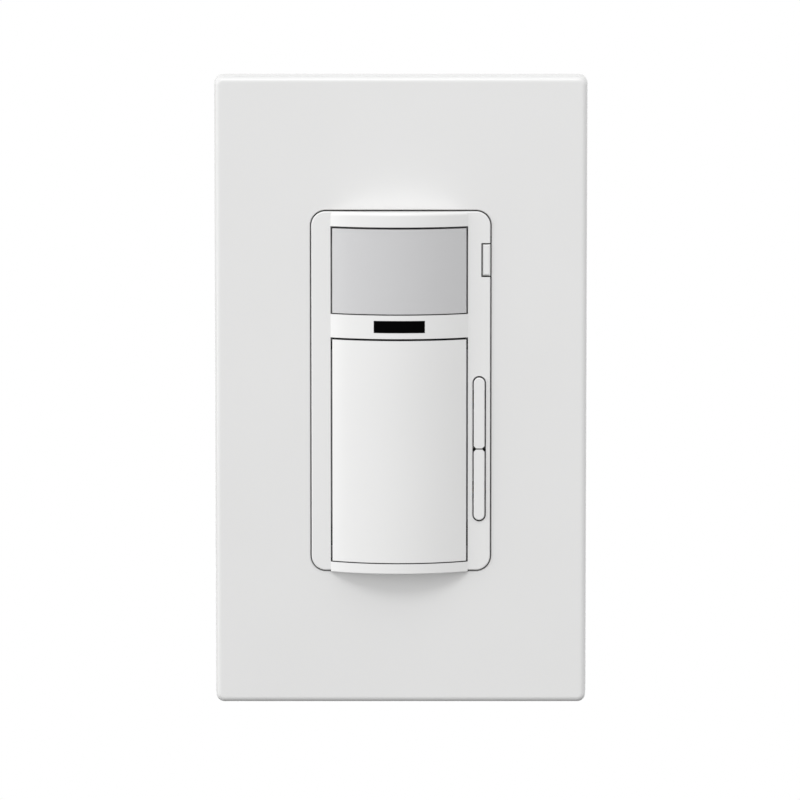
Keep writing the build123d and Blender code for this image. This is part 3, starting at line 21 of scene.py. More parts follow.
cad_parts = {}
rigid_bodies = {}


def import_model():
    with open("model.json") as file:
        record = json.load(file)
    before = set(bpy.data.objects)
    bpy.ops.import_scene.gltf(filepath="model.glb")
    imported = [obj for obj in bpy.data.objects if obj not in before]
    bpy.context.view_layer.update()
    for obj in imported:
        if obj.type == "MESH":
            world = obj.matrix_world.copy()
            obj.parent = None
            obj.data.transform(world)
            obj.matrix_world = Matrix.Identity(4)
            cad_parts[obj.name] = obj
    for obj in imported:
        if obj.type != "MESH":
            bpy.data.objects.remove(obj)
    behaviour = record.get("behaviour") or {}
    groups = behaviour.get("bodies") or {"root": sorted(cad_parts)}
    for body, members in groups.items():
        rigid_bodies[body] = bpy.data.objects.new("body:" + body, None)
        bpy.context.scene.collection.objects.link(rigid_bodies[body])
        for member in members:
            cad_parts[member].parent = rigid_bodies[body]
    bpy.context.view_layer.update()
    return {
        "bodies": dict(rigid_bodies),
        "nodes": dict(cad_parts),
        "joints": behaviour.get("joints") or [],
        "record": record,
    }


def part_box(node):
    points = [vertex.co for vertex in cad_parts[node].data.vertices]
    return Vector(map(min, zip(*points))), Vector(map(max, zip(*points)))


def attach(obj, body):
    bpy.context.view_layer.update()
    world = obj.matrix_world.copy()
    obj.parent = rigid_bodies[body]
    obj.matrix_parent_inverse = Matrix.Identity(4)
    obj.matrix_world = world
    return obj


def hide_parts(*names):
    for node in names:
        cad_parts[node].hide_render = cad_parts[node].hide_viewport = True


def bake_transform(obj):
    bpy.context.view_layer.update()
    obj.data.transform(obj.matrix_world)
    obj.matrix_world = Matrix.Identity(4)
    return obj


log = logging.getLogger("switch")

MM = 0.001
FULL_TURN = 2 * math.pi
FULL_DEGREES = 360.0
FIXED_BODY = "frame"

Colour = tuple[float, float, float]
Point = tuple[float, float, float]
Pairs = tuple[tuple[float, float], ...]
Outline = list[tuple[float, float]]
Feeds = dict[str | int, object]

# Ways that a shank can point, and the signs of the two sides of a middle.
INWARD: Point = (0.0, 1.0, 0.0)
OUTWARD: Point = (0.0, -1.0, 0.0)
UPWARD: Point = (0.0, 0.0, 1.0)
ENDS = (-1, 1)


class Grain(Enum):
    """What a mould leaves on the plastic: marks to a millimetre, their depth, and the spread of gloss."""

    POLISHED = (1.5, 0.03, 0.03)
    CLEAR = (1.5, 0.05, 0.04)
    SATIN = (6.0, 0.10, 0.06)
    LENS = (7.0, 0.20, 0.06)
    COATED = (2.5, 0.30, 0.10)
    SPARK = (4.0, 0.35, 0.10)
    ROUGH = (2.5, 0.60, 0.12)


class Head(Enum):
    """The shape of a screw's head."""

    PAN = "flat top with a round shoulder"
    FLAT = "countersunk cone"
    CHEESE = "straight rim with a broken edge"
    HEX = "hexagon above a washer face"


class Drive(Enum):
    """What a screw's head gives the driver."""

    SLOT = "one straight slot"
    CROSSED = "a straight slot with a shorter one across it"


class Face(Enum):
    """Which face of a board a part sits on, by the way that the face looks along Y."""

    FRONT = -1
    BACK = 1


def rgba(colour: Colour) -> tuple[float, float, float, float]:
    """A colour with full opacity."""
    return (*colour, 1.0)


class Mixer:
    """Places shader nodes in one tree and links them."""

    def __init__(self, tree: NodeTree) -> None:
        """Keeps the tree to build in."""
        self.tree = tree

    def node(self, kind: str, feeds: Feeds | None = None, **settings: object) -> Node:
        """Adds a node.

        Args:
            kind: The node's type name.
            feeds: What goes into its inputs, as feed() takes it.
            settings: Properties of the node to set.

        Returns:
            The new node.
        """
        made = self.tree.nodes.new(kind)
        for key, value in settings.items():
            setattr(made, key, value)
        self.feed(made, feeds or {})
        return made

    def feed(self, node: Node, feeds: Feeds) -> None:
        """Fills inputs of a node.

        Args:
            node: The node.
            feeds: By each input's name or place, a socket to link or a number, vector or colour.
        """
        for label, value in feeds.items():
            target = node.inputs[label]
            if isinstance(value, NodeSocket):
                self.tree.links.new(value, target)
            else:
                target.default_value = rgba(value) if target.type == "RGBA" else value

    def maths(self, operation: str, first: object, second: object = 0.0) -> NodeSocket:
        """What an operation makes of two sockets or numbers."""
        return self.node("ShaderNodeMath", {0: first, 1: second}, operation=operation).outputs[0]

    def mix(self, share: object, first: object, second: object) -> NodeSocket:
        """A mix of two colours: the first where the share is 0, the second where it is 1."""
        return self.node("ShaderNodeMix", {0: share, 6: first, 7: second}, data_type="RGBA").outputs[2]

    def spread(self, value: NodeSocket, ends: tuple[float, float], made: tuple[float, float] = (0.0, 1.0)
               ) -> NodeSocket:
        """A value mapped from the range between two ends onto another range, and held there."""
        return self.node("ShaderNodeMapRange", dict(enumerate((value, *ends, *made)))).outputs[0]

    def point(self) -> NodeSocket:
        """The surface point in millimetres, in the model's frame."""
        own = self.node("ShaderNodeTexCoord").outputs["Object"]
        return self.node("ShaderNodeVectorMath", {0: own, "Scale": 1 / MM}, operation="SCALE").outputs[0]

    def noise(self, scale: object, detail: float, point: NodeSocket | None = None) -> NodeSocket:
        """Noise over the surface, with its scale in waves a millimetre."""
        feeds = {"Vector": point or self.point(), "Scale": scale, "Detail": detail}
        return self.node("ShaderNodeTexNoise", feeds).outputs[0]

    def bump(self, height: NodeSocket, strength: NodeSocket, distance: float) -> NodeSocket:
        """The normal of a surface that is raised by a height."""
        feeds = {"Height": height, "Strength": strength, "Distance": distance * MM}
        return self.node("ShaderNodeBump", feeds).outputs[0]

    def vary(self, middle: NodeSocket, change: NodeSocket, share: NodeSocket) -> NodeSocket:
        """A value moved up and down by a share of a change."""
        return self.maths("ADD", middle, self.maths("MULTIPLY", change, share))


class Effects:
    """The node groups that several finishes share, each built once.

    The heights and the reach are in millimetres. The ends are those of a range that is mapped onto 0 to 1.
    """

    kinds = {"Color": "NodeSocketColor", "Normal": "NodeSocketVector", "Roughness": "NodeSocketFloat"}
    noise_mean = 0.5
    grain_height = 0.02
    brush_height = 0.03
    crevice_reach = 0.8
    closed_ends = (0.2, 0.75)
    gap_shade_ends = (0.35, 0.8)
    film_ends = (0.35, 0.7)
    flow_ends = (0.3, 0.7)
    dust: Colour = (0.45, 0.43, 0.40)
    # Painted shade: the near-black colour that narrow gaps are given, standing in for the shade inside them.
    painted_gap_shade: Colour = (0.01, 0.01, 0.01)

    def __init__(self) -> None:
        """Builds every group."""
        self.grain = self.build_grain()
        self.soil_and_gap_shade = self.build_soil_and_gap_shade()
        self.brush = self.build_brush()
        self.flow = self.build_flow()

    def start(self, name: str, inputs: dict[str, object], *outputs: str) -> tuple[Mixer, object, Node]:
        """Starts a group with named sockets.

        Args:
            name: The group's name.
            inputs: Each input's name and default, a number or a colour.
            outputs: The outputs' names.

        Returns:
            The helper of its tree, what comes in by name, and its output node.
        """
        tree = bpy.data.node_groups.new(name, "ShaderNodeTree")
        for label, default in inputs.items():
            tinted = isinstance(default, tuple)
            kind = "NodeSocketColor" if tinted else "NodeSocketFloat"
            socket = tree.interface.new_socket(label, in_out="INPUT", socket_type=kind)
            socket.default_value = rgba(default) if tinted else default
        for label in outputs:
            tree.interface.new_socket(label, in_out="OUTPUT", socket_type=self.kinds[label])
        mixer = Mixer(tree)
        return mixer, mixer.node("NodeGroupInput").outputs, mixer.node("NodeGroupOutput")

    def build_grain(self) -> NodeTree:
        """Moulded grain: fine noise as a bump, and with broad noise as a spread of roughness.

        Returns:
            The group.
        """
        inputs = {"Size": 4.0, "Depth": 0.1, "Roughness": 0.4, "Spread": 0.06}
        mixer, start, end = self.start("mould_grain", inputs, "Normal", "Roughness")
        fine = mixer.noise(scale=start["Size"], detail=3.0)
        broad = mixer.noise(scale=0.09, detail=2.0)
        uneven = mixer.maths("SUBTRACT", mixer.maths("ADD", fine, broad), 2 * self.noise_mean)
        normal = mixer.bump(fine, start["Depth"], self.grain_height)
        roughness = mixer.vary(start["Roughness"], uneven, start["Spread"])
        mixer.feed(end, {"Normal": normal, "Roughness": roughness})
        return mixer.tree

    def build_soil_and_gap_shade(self) -> NodeTree:
        """Dust and handling film, where surfaces meet and in a broad uneven pattern, and painted shade that
        turns narrow gaps near black.

        Returns:
            The group, which takes a colour and gives it back soiled and with its narrow gaps in painted shade.
        """
        inputs = {"Color": (0.8, 0.8, 0.8), "Crevice": 0.5, "Film": 0.02, "Gap Shade": 0.0}
        mixer, start, end = self.start("soil_and_gap_shade", inputs, "Color")
        feeds = {"Distance": self.crevice_reach * MM}
        openness = mixer.node("ShaderNodeAmbientOcclusion", feeds, samples=6).outputs["AO"]
        closed = mixer.spread(openness, self.closed_ends, (1.0, 0.0))
        # Painted shade: narrow gaps, found by the occlusion, are pulled towards near black by the finish's
        # weight.
        gap_shade_share = mixer.spread(openness, self.gap_shade_ends, (1.0, 0.0))
        film = mixer.spread(mixer.noise(scale=0.06, detail=4.0), self.film_ends)
        dust = mixer.vary(mixer.maths("MULTIPLY", closed, start["Crevice"]), film, start["Film"])
        dusty = mixer.mix(mixer.maths("MINIMUM", dust, 1.0), start["Color"], self.dust)
        painted_gap_shade_mask = mixer.maths("MULTIPLY", gap_shade_share, start["Gap Shade"])
        mixer.feed(end, {"Color": mixer.mix(painted_gap_shade_mask, dusty, self.painted_gap_shade)})
        return mixer.tree

    def build_brush(self) -> NodeTree:
        """Rolling or turning marks on metal, stretched along one axis.

        Returns:
            The group.
        """
        along = {"Along X": 1.0, "Along Y": 1.0, "Along Z": 1.0}
        inputs = {**along, "Depth": 0.2, "Roughness": 0.35, "Spread": 0.2}
        mixer, start, end = self.start("metal_marks", inputs, "Normal", "Roughness")
        feeds = {place: start[label] for place, label in enumerate(along)}
        stretch = mixer.node("ShaderNodeCombineXYZ", feeds).outputs[0]
        feeds = {0: mixer.point(), 1: stretch}
        point = mixer.node("ShaderNodeVectorMath", feeds, operation="MULTIPLY").outputs[0]
        noise = mixer.noise(scale=3.0, detail=5.0, point=point)
        normal = mixer.bump(noise, start["Depth"], self.brush_height)
        uneven = mixer.maths("SUBTRACT", noise, self.noise_mean)
        roughness = mixer.vary(start["Roughness"], uneven, start["Spread"])
        mixer.feed(end, {"Normal": normal, "Roughness": roughness})
        return mixer.tree

    def build_flow(self) -> NodeTree:
        """Slow change of tone in a moulding, as the resin cools unevenly away from its gate.

        Returns:
            The group.
        """
        inputs = {"Color": (0.8, 0.8, 0.8), "Cool": (0.75, 0.75, 0.76), "Share": 0.3}
        mixer, start, end = self.start("tone_flow", inputs, "Color")
        wave = mixer.spread(mixer.noise(scale=0.025, detail=1.0), self.flow_ends)
        share = mixer.maths("MULTIPLY", wave, start["Share"])
        mixer.feed(end, {"Color": mixer.mix(share, start["Color"], start["Cool"])})
        return mixer.tree


def new_material(name: str) -> tuple[Material, Mixer, Node]:
    """Starts a material with one shader.

    Args:
        name: The material's name.

    Returns:
        The material, the helper of its tree and its Principled BSDF.
    """
    material = bpy.data.materials.new(name)
    material.use_nodes = True
    mixer = Mixer(material.node_tree)
    mixer.tree.nodes.clear()
    shader = mixer.node("ShaderNodeBsdfPrincipled")
    mixer.node("ShaderNodeOutputMaterial", {"Surface": shader.outputs[0]})
    return material, mixer, shader


@dataclass(frozen=True)
class Finish:
    """A finish: its colours, the dirt on it, painted shade in its narrow gaps, its grain and gloss, and how
    light passes it.
    """

    name: str
    colour: Colour
    cool: Colour | None = None
    cool_share: float = 0.3
    roughness: float = 0.38
    grain: Grain = Grain.SATIN
    crevice: float = 0.35
    film: float = 0.02
    # The weight of the painted shade in narrow gaps.
    gap_shade_weight: float = 0.0
    ior: float = 1.5
    specular: float = 0.5
    metallic: float = 0.0
    transmission: float = 0.0
    glow: float = 0.0
    glow_depth: float = 0.6

    def build(self, effects: Effects) -> Material:
        """Makes the material.

        Args:
            effects: The shared node groups.

        Returns:
            The finished material.
        """
        material, mixer, shader = new_material(self.name)
        relief = self.relief(mixer, effects).outputs
        mixer.feed(shader, {
            "Base Color": self.tone(mixer, effects), "Roughness": relief["Roughness"],
            "Normal": relief["Normal"], "IOR": self.ior, "Specular IOR Level": self.specular,
            "Metallic": self.metallic, "Transmission Weight": self.transmission,
            "Subsurface Weight": self.glow, "Subsurface Radius": (1.0, 1.0, 1.0),
            "Subsurface Scale": self.glow_depth * MM,
        })
        return material

    def tone(self, mixer: Mixer, effects: Effects) -> object:
        """The base colour: even and clean, or changing slowly and with dirt and painted gap shade on it.

        Args:
            mixer: The helper of the material's tree.
            effects: The shared node groups.

        Returns:
            The colour or its socket.
        """
        if self.cool is None:
            return self.colour
        feeds = {"Color": self.colour, "Cool": self.cool, "Share": self.cool_share}
        flow = mixer.node("ShaderNodeGroup", feeds, node_tree=effects.flow)
        return self.soiled_and_gap_shaded(mixer, effects, flow.outputs[0])

    def soiled_and_gap_shaded(self, mixer: Mixer, effects: Effects, colour: NodeSocket) -> NodeSocket:
        """A colour with the dirt on it, and painted shade in its narrow gaps."""
        feeds = {"Color": colour, "Crevice": self.crevice, "Film": self.film, "Gap Shade": self.gap_shade_weight}
        return mixer.node("ShaderNodeGroup", feeds, node_tree=effects.soil_and_gap_shade).outputs[0]

    def relief(self, mixer: Mixer, effects: Effects) -> Node:
        """The grain's group, which puts out a roughness and a normal."""
        feeds = dict(zip(("Size", "Depth", "Spread"), self.grain.value), Roughness=self.roughness)
        return mixer.node("ShaderNodeGroup", feeds, node_tree=effects.grain)


@dataclass(frozen=True)
class Moulding(Finish):
    """A moulded plastic, resin, glass or ceramic."""

    ior: float = 1.49


@dataclass(frozen=True)
class ClearMoulding(Finish):
    """A clear plastic that light passes."""

    roughness: float = 0.1
    grain: Grain = Grain.CLEAR
    ior: float = 1.58
    transmission: float = 1.0


@dataclass(frozen=True)
class LensSheet(Finish):
    """Milky lens sheet: satin outside, light passes it without a clear image."""

    cool_share: float = 0.5
    roughness: float = 0.42
    grain: Grain = Grain.LENS
    crevice: float = 0.2
    film: float = 0.03
    ior: float = 1.52
    glow: float = 0.35


@dataclass(frozen=True)
class Metalwork(Finish):
    """A metal with the marks that its making left, where the second colour is its stain."""

    cool_share: float = 0.35
    roughness: float = 0.32
    crevice: float = 0.4
    film: float = 0.04
    metallic: float = 1.0
    marks: Point = (1.0, 1.0, 1.0)
    depth: float = 0.15
    spread: float = 0.25

    def relief(self, mixer: Mixer, effects: Effects) -> Node:
        """The marks of the making.

        Args:
            mixer: The helper of the material's tree.
            effects: The shared node groups.

        Returns:
            Their group, which puts out a roughness and a normal.
        """
        feeds = dict(zip(("Along X", "Along Y", "Along Z"), self.marks))
        feeds.update(Depth=self.depth, Roughness=self.roughness, Spread=self.spread)
        return mixer.node("ShaderNodeGroup", feeds, node_tree=effects.brush)


@dataclass(frozen=True)
class Laminate(Finish):
    """Circuit board: two tones of solder mask over copper tracks, and bare glass cloth at its edges."""

    roughness: float = 0.33
    grain: Grain = Grain.COATED
    crevice: float = 0.3
    track: Colour = (0.025, 0.17, 0.065)
    cloth: Colour = (0.46, 0.44, 0.26)
    lines_per_mm: float = 0.16
    edge_slope: float = 0.5

    def tone(self, mixer: Mixer, effects: Effects) -> NodeSocket:
        """The base colour, with the tracks laid out in X and Z.

        Args:
            mixer: The helper of the material's tree.
            effects: The shared node groups.

        Returns:
            The colour's socket.
        """
        quarter = (math.pi / 2, 0.0, 0.0)
        flat = mixer.node("ShaderNodeMapping", {"Vector": mixer.point(), "Rotation": quarter})
        feeds = {
            "Vector": flat.outputs[0], "Scale": self.lines_per_mm, "Mortar Size": 0.045,
            "Mortar Smooth": 0.1, "Brick Width": 0.9, "Row Height": 0.22, "Color1": self.colour,
            "Color2": self.cool, "Mortar": self.track,
        }
        tracks = mixer.node("ShaderNodeTexBrick", feeds, offset=0.35, squash=0.6, squash_frequency=3)
        normal = mixer.node("ShaderNodeTexCoord").outputs["Normal"]
        way = mixer.node("ShaderNodeSeparateXYZ", {0: normal}).outputs["Y"]
        facing = mixer.maths("GREATER_THAN", mixer.maths("ABSOLUTE", way), self.edge_slope)
        return self.soiled_and_gap_shaded(mixer, effects, mixer.mix(facing, self.cloth, tracks.outputs["Color"]))


FINISHES = (
    Moulding("cover_plastic", (0.84, 0.84, 0.836), (0.82, 0.82, 0.82), roughness=0.24, specular=0.35),
    # The face's mouldings have their narrow gaps in full painted shade.
    Moulding("face_plastic", (0.865, 0.865, 0.86), (0.835, 0.835, 0.835), roughness=0.30, gap_shade_weight=1.0),
    Moulding("adapter_plastic", (0.62, 0.62, 0.61), (0.58, 0.58, 0.58), roughness=0.5),
    LensSheet("lens_plastic", (0.64, 0.64, 0.648), (0.6208, 0.6208, 0.62856)),
    Moulding("window_plastic", (0.002, 0.002, 0.002), (0.003, 0.003, 0.003), roughness=0.16,
             grain=Grain.POLISHED, crevice=0.0, film=0.0, specular=0.0),
    ClearMoulding("pipe_plastic", (0.93, 0.95, 0.96)),
    Metalwork("strap_metal", (0.72, 0.73, 0.74), (0.60, 0.60, 0.60), roughness=0.36, marks=(6.0, 6.0, 0.4)),
    Metalwork("screw_steel", (0.63, 0.63, 0.62), (0.50, 0.48, 0.42), roughness=0.3),
    Metalwork("spring_steel", (0.58, 0.58, 0.60), (0.45, 0.43, 0.42), marks=(8.0, 1.0, 0.5)),
    Moulding("fibre", (0.32, 0.12, 0.07), (0.25, 0.09, 0.05), roughness=0.75, grain=Grain.ROUGH),
    Moulding("housing_plastic", (0.038, 0.039, 0.042), (0.05, 0.05, 0.052), roughness=0.45,
             grain=Grain.SPARK, film=0.06),
    Moulding("switch_plastic", (0.02, 0.02, 0.022), (0.03, 0.03, 0.03), roughness=0.4),
    Moulding("button_plastic", (0.55, 0.28, 0.08), (0.5, 0.25, 0.07), roughness=0.4),
    Moulding("baffle_plastic", (0.03, 0.03, 0.032), (0.035, 0.035, 0.035), roughness=0.6),
    Metalwork("can_metal", (0.76, 0.72, 0.60), (0.66, 0.60, 0.46), roughness=0.28),
    Moulding("filter_glass", (0.03, 0.028, 0.035), (0.04, 0.03, 0.05), roughness=0.12),
    Laminate("board_laminate", (0.012, 0.10, 0.04), (0.00984, 0.082, 0.0328)),
    ClearMoulding("led_resin", (0.90, 0.93, 0.90), roughness=0.15),
    Moulding("chip_resin", (0.022, 0.022, 0.024), (0.03, 0.03, 0.03), roughness=0.55),
    Metalwork("contact_brass", (0.80, 0.62, 0.30), (0.64, 0.44, 0.20), roughness=0.3),
    Metalwork("nickel", (0.68, 0.66, 0.62), (0.55, 0.52, 0.46), roughness=0.3, marks=(1.0, 5.0, 1.0)),
    Moulding("ground_green", (0.02, 0.22, 0.07), (0.03, 0.28, 0.08), roughness=0.25),
    Moulding("insulator_sheet", (0.55, 0.57, 0.60), (0.5, 0.52, 0.56), roughness=0.6),
    Moulding("ferrite", (0.05, 0.048, 0.05), (0.07, 0.065, 0.06), roughness=0.5, grain=Grain.ROUGH),
    Metalwork("copper_wire", (0.72, 0.32, 0.16), (0.55, 0.22, 0.10), roughness=0.22),
    Moulding("film_box", (0.62, 0.42, 0.05), (0.56, 0.38, 0.05), roughness=0.35),
    Moulding("can_sleeve", (0.03, 0.03, 0.07), (0.04, 0.04, 0.08), roughness=0.3),
    Moulding("varistor_resin", (0.03, 0.10, 0.30), (0.03, 0.08, 0.25), roughness=0.35),
    Moulding("fuse_ceramic", (0.72, 0.70, 0.66), (0.66, 0.64, 0.60), roughness=0.3),
)


class Finishing:
    """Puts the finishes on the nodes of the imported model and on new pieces."""

    def __init__(self, frame: dict) -> None:
        """Builds each material.
        """
        self.nodes = frame["nodes"]
        effects = Effects()
        self.materials = {finish.name: finish.build(effects) for finish in FINISHES}
        self.slots = {part["node"]: part["material_slot"] for part in frame["record"]["subparts"]}

    def paint(self, piece: Object, slot: str) -> None:
        """Gives an object the material of a slot."""
        piece.data.materials.clear()
        piece.data.materials.append(self.materials[slot])

    def dress_nodes(self) -> None:
        """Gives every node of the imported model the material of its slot."""
        for name, node in self.nodes.items():
            self.paint(node, self.slots[name])
            log.info("node %s is %s", name, self.slots[name])

    def dress(self, piece: Object, *replaced: str, slot: str = "") -> None:
        """Finishes a new piece, names its slot, and hangs it on the fixed body.

        Args:
            piece: The new object.
            replaced: The nodes that it stands for.
            slot: The record's material slot, where it isn't that of the first such node.
        """
        slot = slot or self.slots[replaced[0]]
        self.paint(piece, slot)
        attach(piece, FIXED_BODY)
        if replaced:
            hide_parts(*replaced)
        log.info("piece %s is %s on %s", piece.name, slot, FIXED_BODY)

    def bridge(self, piece: Object, body: str, start: Point, end: Point, replaced: str) -> None:
        """Finishes a new piece that reaches from the fixed body to another one, and bakes its placing into its
        mesh.

        Args:
            piece: The new object.
            body: The body at its end.
            start: Not used.
            end: Not used.
            replaced: The node that it stands for.
        """
        slot = self.slots[replaced]
        self.paint(piece, slot)
        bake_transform(piece)
        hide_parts(replaced)
        log.info("piece %s is %s and bends between %s and %s", piece.name, slot, FIXED_BODY, body)


def as_object(name: str, shape: BMesh, crease: float = 35.0) -> Object:
    """Turns a mesh under construction into an object of the scene, smooth up to its creases.

    Args:
        name: The object's name.
        shape: The mesh, which is freed.
        crease: The angle in degrees from which an edge stays sharp.

    Returns:
        The new object.
    """
    mesh = bpy.data.meshes.new(name)
    bmesh.ops.recalc_face_normals(shape, faces=shape.faces[:])
    shape.to_mesh(mesh)
    shape.free()
    mesh.shade_smooth()
    mesh.set_sharp_from_angle(angle=math.radians(crease))
    made = bpy.data.objects.new(name, mesh)
    bpy.context.collection.objects.link(made)
    return made


def reopened(piece: Object) -> BMesh:
    """Turns an object back into a mesh under construction.

    Args:
        piece: The object, which is dropped.

    Returns:
        The mesh.
    """
    shape = bmesh.new()
    shape.from_mesh(piece.data)
    bpy.data.objects.remove(piece, do_unlink=True)
    return shape


def combine(piece: Object, tool: Object, operation: str) -> None:
    """Changes one closed mesh by another one.

    Args:
        piece: The object that is changed.
        tool: The object that is cut out of it or joined to it, and then dropped.
        operation: The Boolean modifier's operation.
    """
    modifier = piece.modifiers.new("combine", "BOOLEAN")
    modifier.operation = operation
    modifier.solver = "EXACT"
    modifier.object = tool
    graph = bpy.context.evaluated_depsgraph_get()
    graph.update()
    made = bpy.data.meshes.new_from_object(piece.evaluated_get(graph))
    piece.modifiers.clear()
    spare = piece.data
    piece.data = made
    bpy.data.meshes.remove(spare)
    bpy.data.objects.remove(tool, do_unlink=True)


def ring_row(y: float, r: float, sides: int) -> list[Vector]:
    """A ring of points round the Y axis."""
    turns = [FULL_TURN * side / sides for side in range(sides)]
    return [Vector((r * math.cos(turn), y, r * math.sin(turn))) for turn in turns]


def skin(shape: BMesh, rows: list[list[Vector]]) -> None:
    """Joins rings of points into one closed skin.

    Args:
        shape: The mesh to add it to.
        rows: The rings in order, all with the same number of points.
    """
    rings = [[shape.verts.new(point) for point in row] for row in rows]
    for near, far in zip(rings, rings[1:]):
        for side, corner in enumerate(near):
            following = (side + 1) % len(near)
            shape.faces.new((corner, near[following], far[following], far[side]))
    shape.faces.new(rings[0])
    shape.faces.new(rings[-1])


def lathe(shape: BMesh, outline: Outline, sides: int) -> None:
    """Turns an outline round the Y axis.

    Args:
        shape: The mesh to add it to.
        outline: Pairs of a level along Y and a radius.
        sides: How many faces go round.
    """
    skin(shape, [ring_row(y, r, sides) for y, r in outline])


def shaped(shares: Pairs, base: float, height: float, r: float) -> Outline:
    """Levels and radii from shares of a height in front of a base and shares of a radius."""
    return [(base - share * height, r_share * r) for share, r_share in shares]


def way_at(line: list[Vector], place: int) -> Vector:
    """The way that a line goes at one of its points, from the point before to the point after it."""
    return (line[min(place + 1, len(line) - 1)] - line[max(place - 1, 0)]).normalized()


def tube(shape: BMesh, path: list[Vector], r: float, sides: int = 8) -> None:
    """Lays a round wire along a path.

    Args:
        shape: The mesh to add it to.
        path: The points of its centre line.
        r: Its radius.
        sides: How many faces go round.
    """
    rows = []
    across = (path[1] - path[0]).orthogonal().normalized()
    turns = [FULL_TURN * side / sides for side in range(sides)]
    for place, point in enumerate(path):
        ahead = way_at(path, place)
        across = (across - ahead * across.dot(ahead)).normalized()
        up = ahead.cross(across)
        rows.append([point + r * (math.cos(turn) * across + math.sin(turn) * up) for turn in turns])
    skin(shape, rows)


def brick(shape: BMesh, centre: Point, size: Point, edge: float) -> None:
    """Adds a block with broken edges.

    Args:
        shape: The mesh to add it to.
        centre: Its middle.
        size: Its three sides.
        edge: How much its edges are broken.
    """
    matrix = Matrix.LocRotScale(Vector(centre), None, Vector(size))
    made = bmesh.ops.create_cube(shape, size=1.0, matrix=matrix)
    edges = list({line for corner in made["verts"] for line in corner.link_edges})
    bmesh.ops.bevel(shape, geom=edges, offset=edge, segments=2, profile=0.6, affect="EDGES")


class Seat(NamedTuple):
    """Where a turned piece sits, in millimetres, and which way its shank points."""

    place: Point
    shank: Point = INWARD

    def matrix(self) -> Matrix:
        """The placing in metres of a piece that was turned round Y at the origin."""
        turn = Vector(INWARD).rotation_difference(Vector(self.shank)).to_matrix().to_4x4()
        return Matrix.Translation(Vector(self.place) * MM) @ turn @ Matrix.Scale(MM, 4)


def seated(name: str, shape: BMesh, seats: list[Seat]) -> Object:
    """Makes one object of equal pieces on their seats.

    Args:
        name: The object's name.
        shape: The piece in millimetres round the Y axis, which is freed.
        seats: Where the pieces go.

    Returns:
        The object.
    """
    single = bpy.data.meshes.new(name)
    shape.to_mesh(single)
    shape.free()
    whole = bmesh.new()
    for seat in seats:
        already = len(whole.verts)
        whole.from_mesh(single)
        whole.verts.ensure_lookup_table()
        bmesh.ops.transform(whole, matrix=seat.matrix(), verts=whole.verts[already:])
    bpy.data.meshes.remove(single)
    return as_object(name, whole)


def turned(name: str, outline: Outline, seat: Seat, *more: Seat, sides: int = 40) -> Object:
    """Makes one object of an outline that is turned on each of its seats.

    Args:
        name: The object's name.
        outline: Pairs of a level along Y and a radius, in millimetres.
        seat: The first seat.
        more: The other seats.
        sides: How many faces go round.

    Returns:
        The object.
    """
    shape = bmesh.new()
    lathe(shape, outline, sides)
    return seated(name, shape, [seat, *more])


# Shares of a head's height above its underside, paired with shares of its radius, from the top down.
RIM_SHARES: Pairs = ((1.0, 0.92), (0.97, 0.965), (0.91, 1.0), (0.06, 1.0), (0.0, 0.97))
HEAD_SHARES: dict[Head, Pairs] = {
    Head.FLAT: ((1.0, 0.95), (0.97, 0.985), (0.93, 1.0), (0.86, 0.985)),
    Head.PAN: (
        (1.0, 0.30), (0.99, 0.52), (0.94, 0.70), (0.84, 0.84), (0.68, 0.94), (0.48, 0.99), (0.28, 1.0),
        (0.06, 1.0), (0.0, 0.97),
    ),
    Head.CHEESE: RIM_SHARES,
    Head.HEX: RIM_SHARES,
}


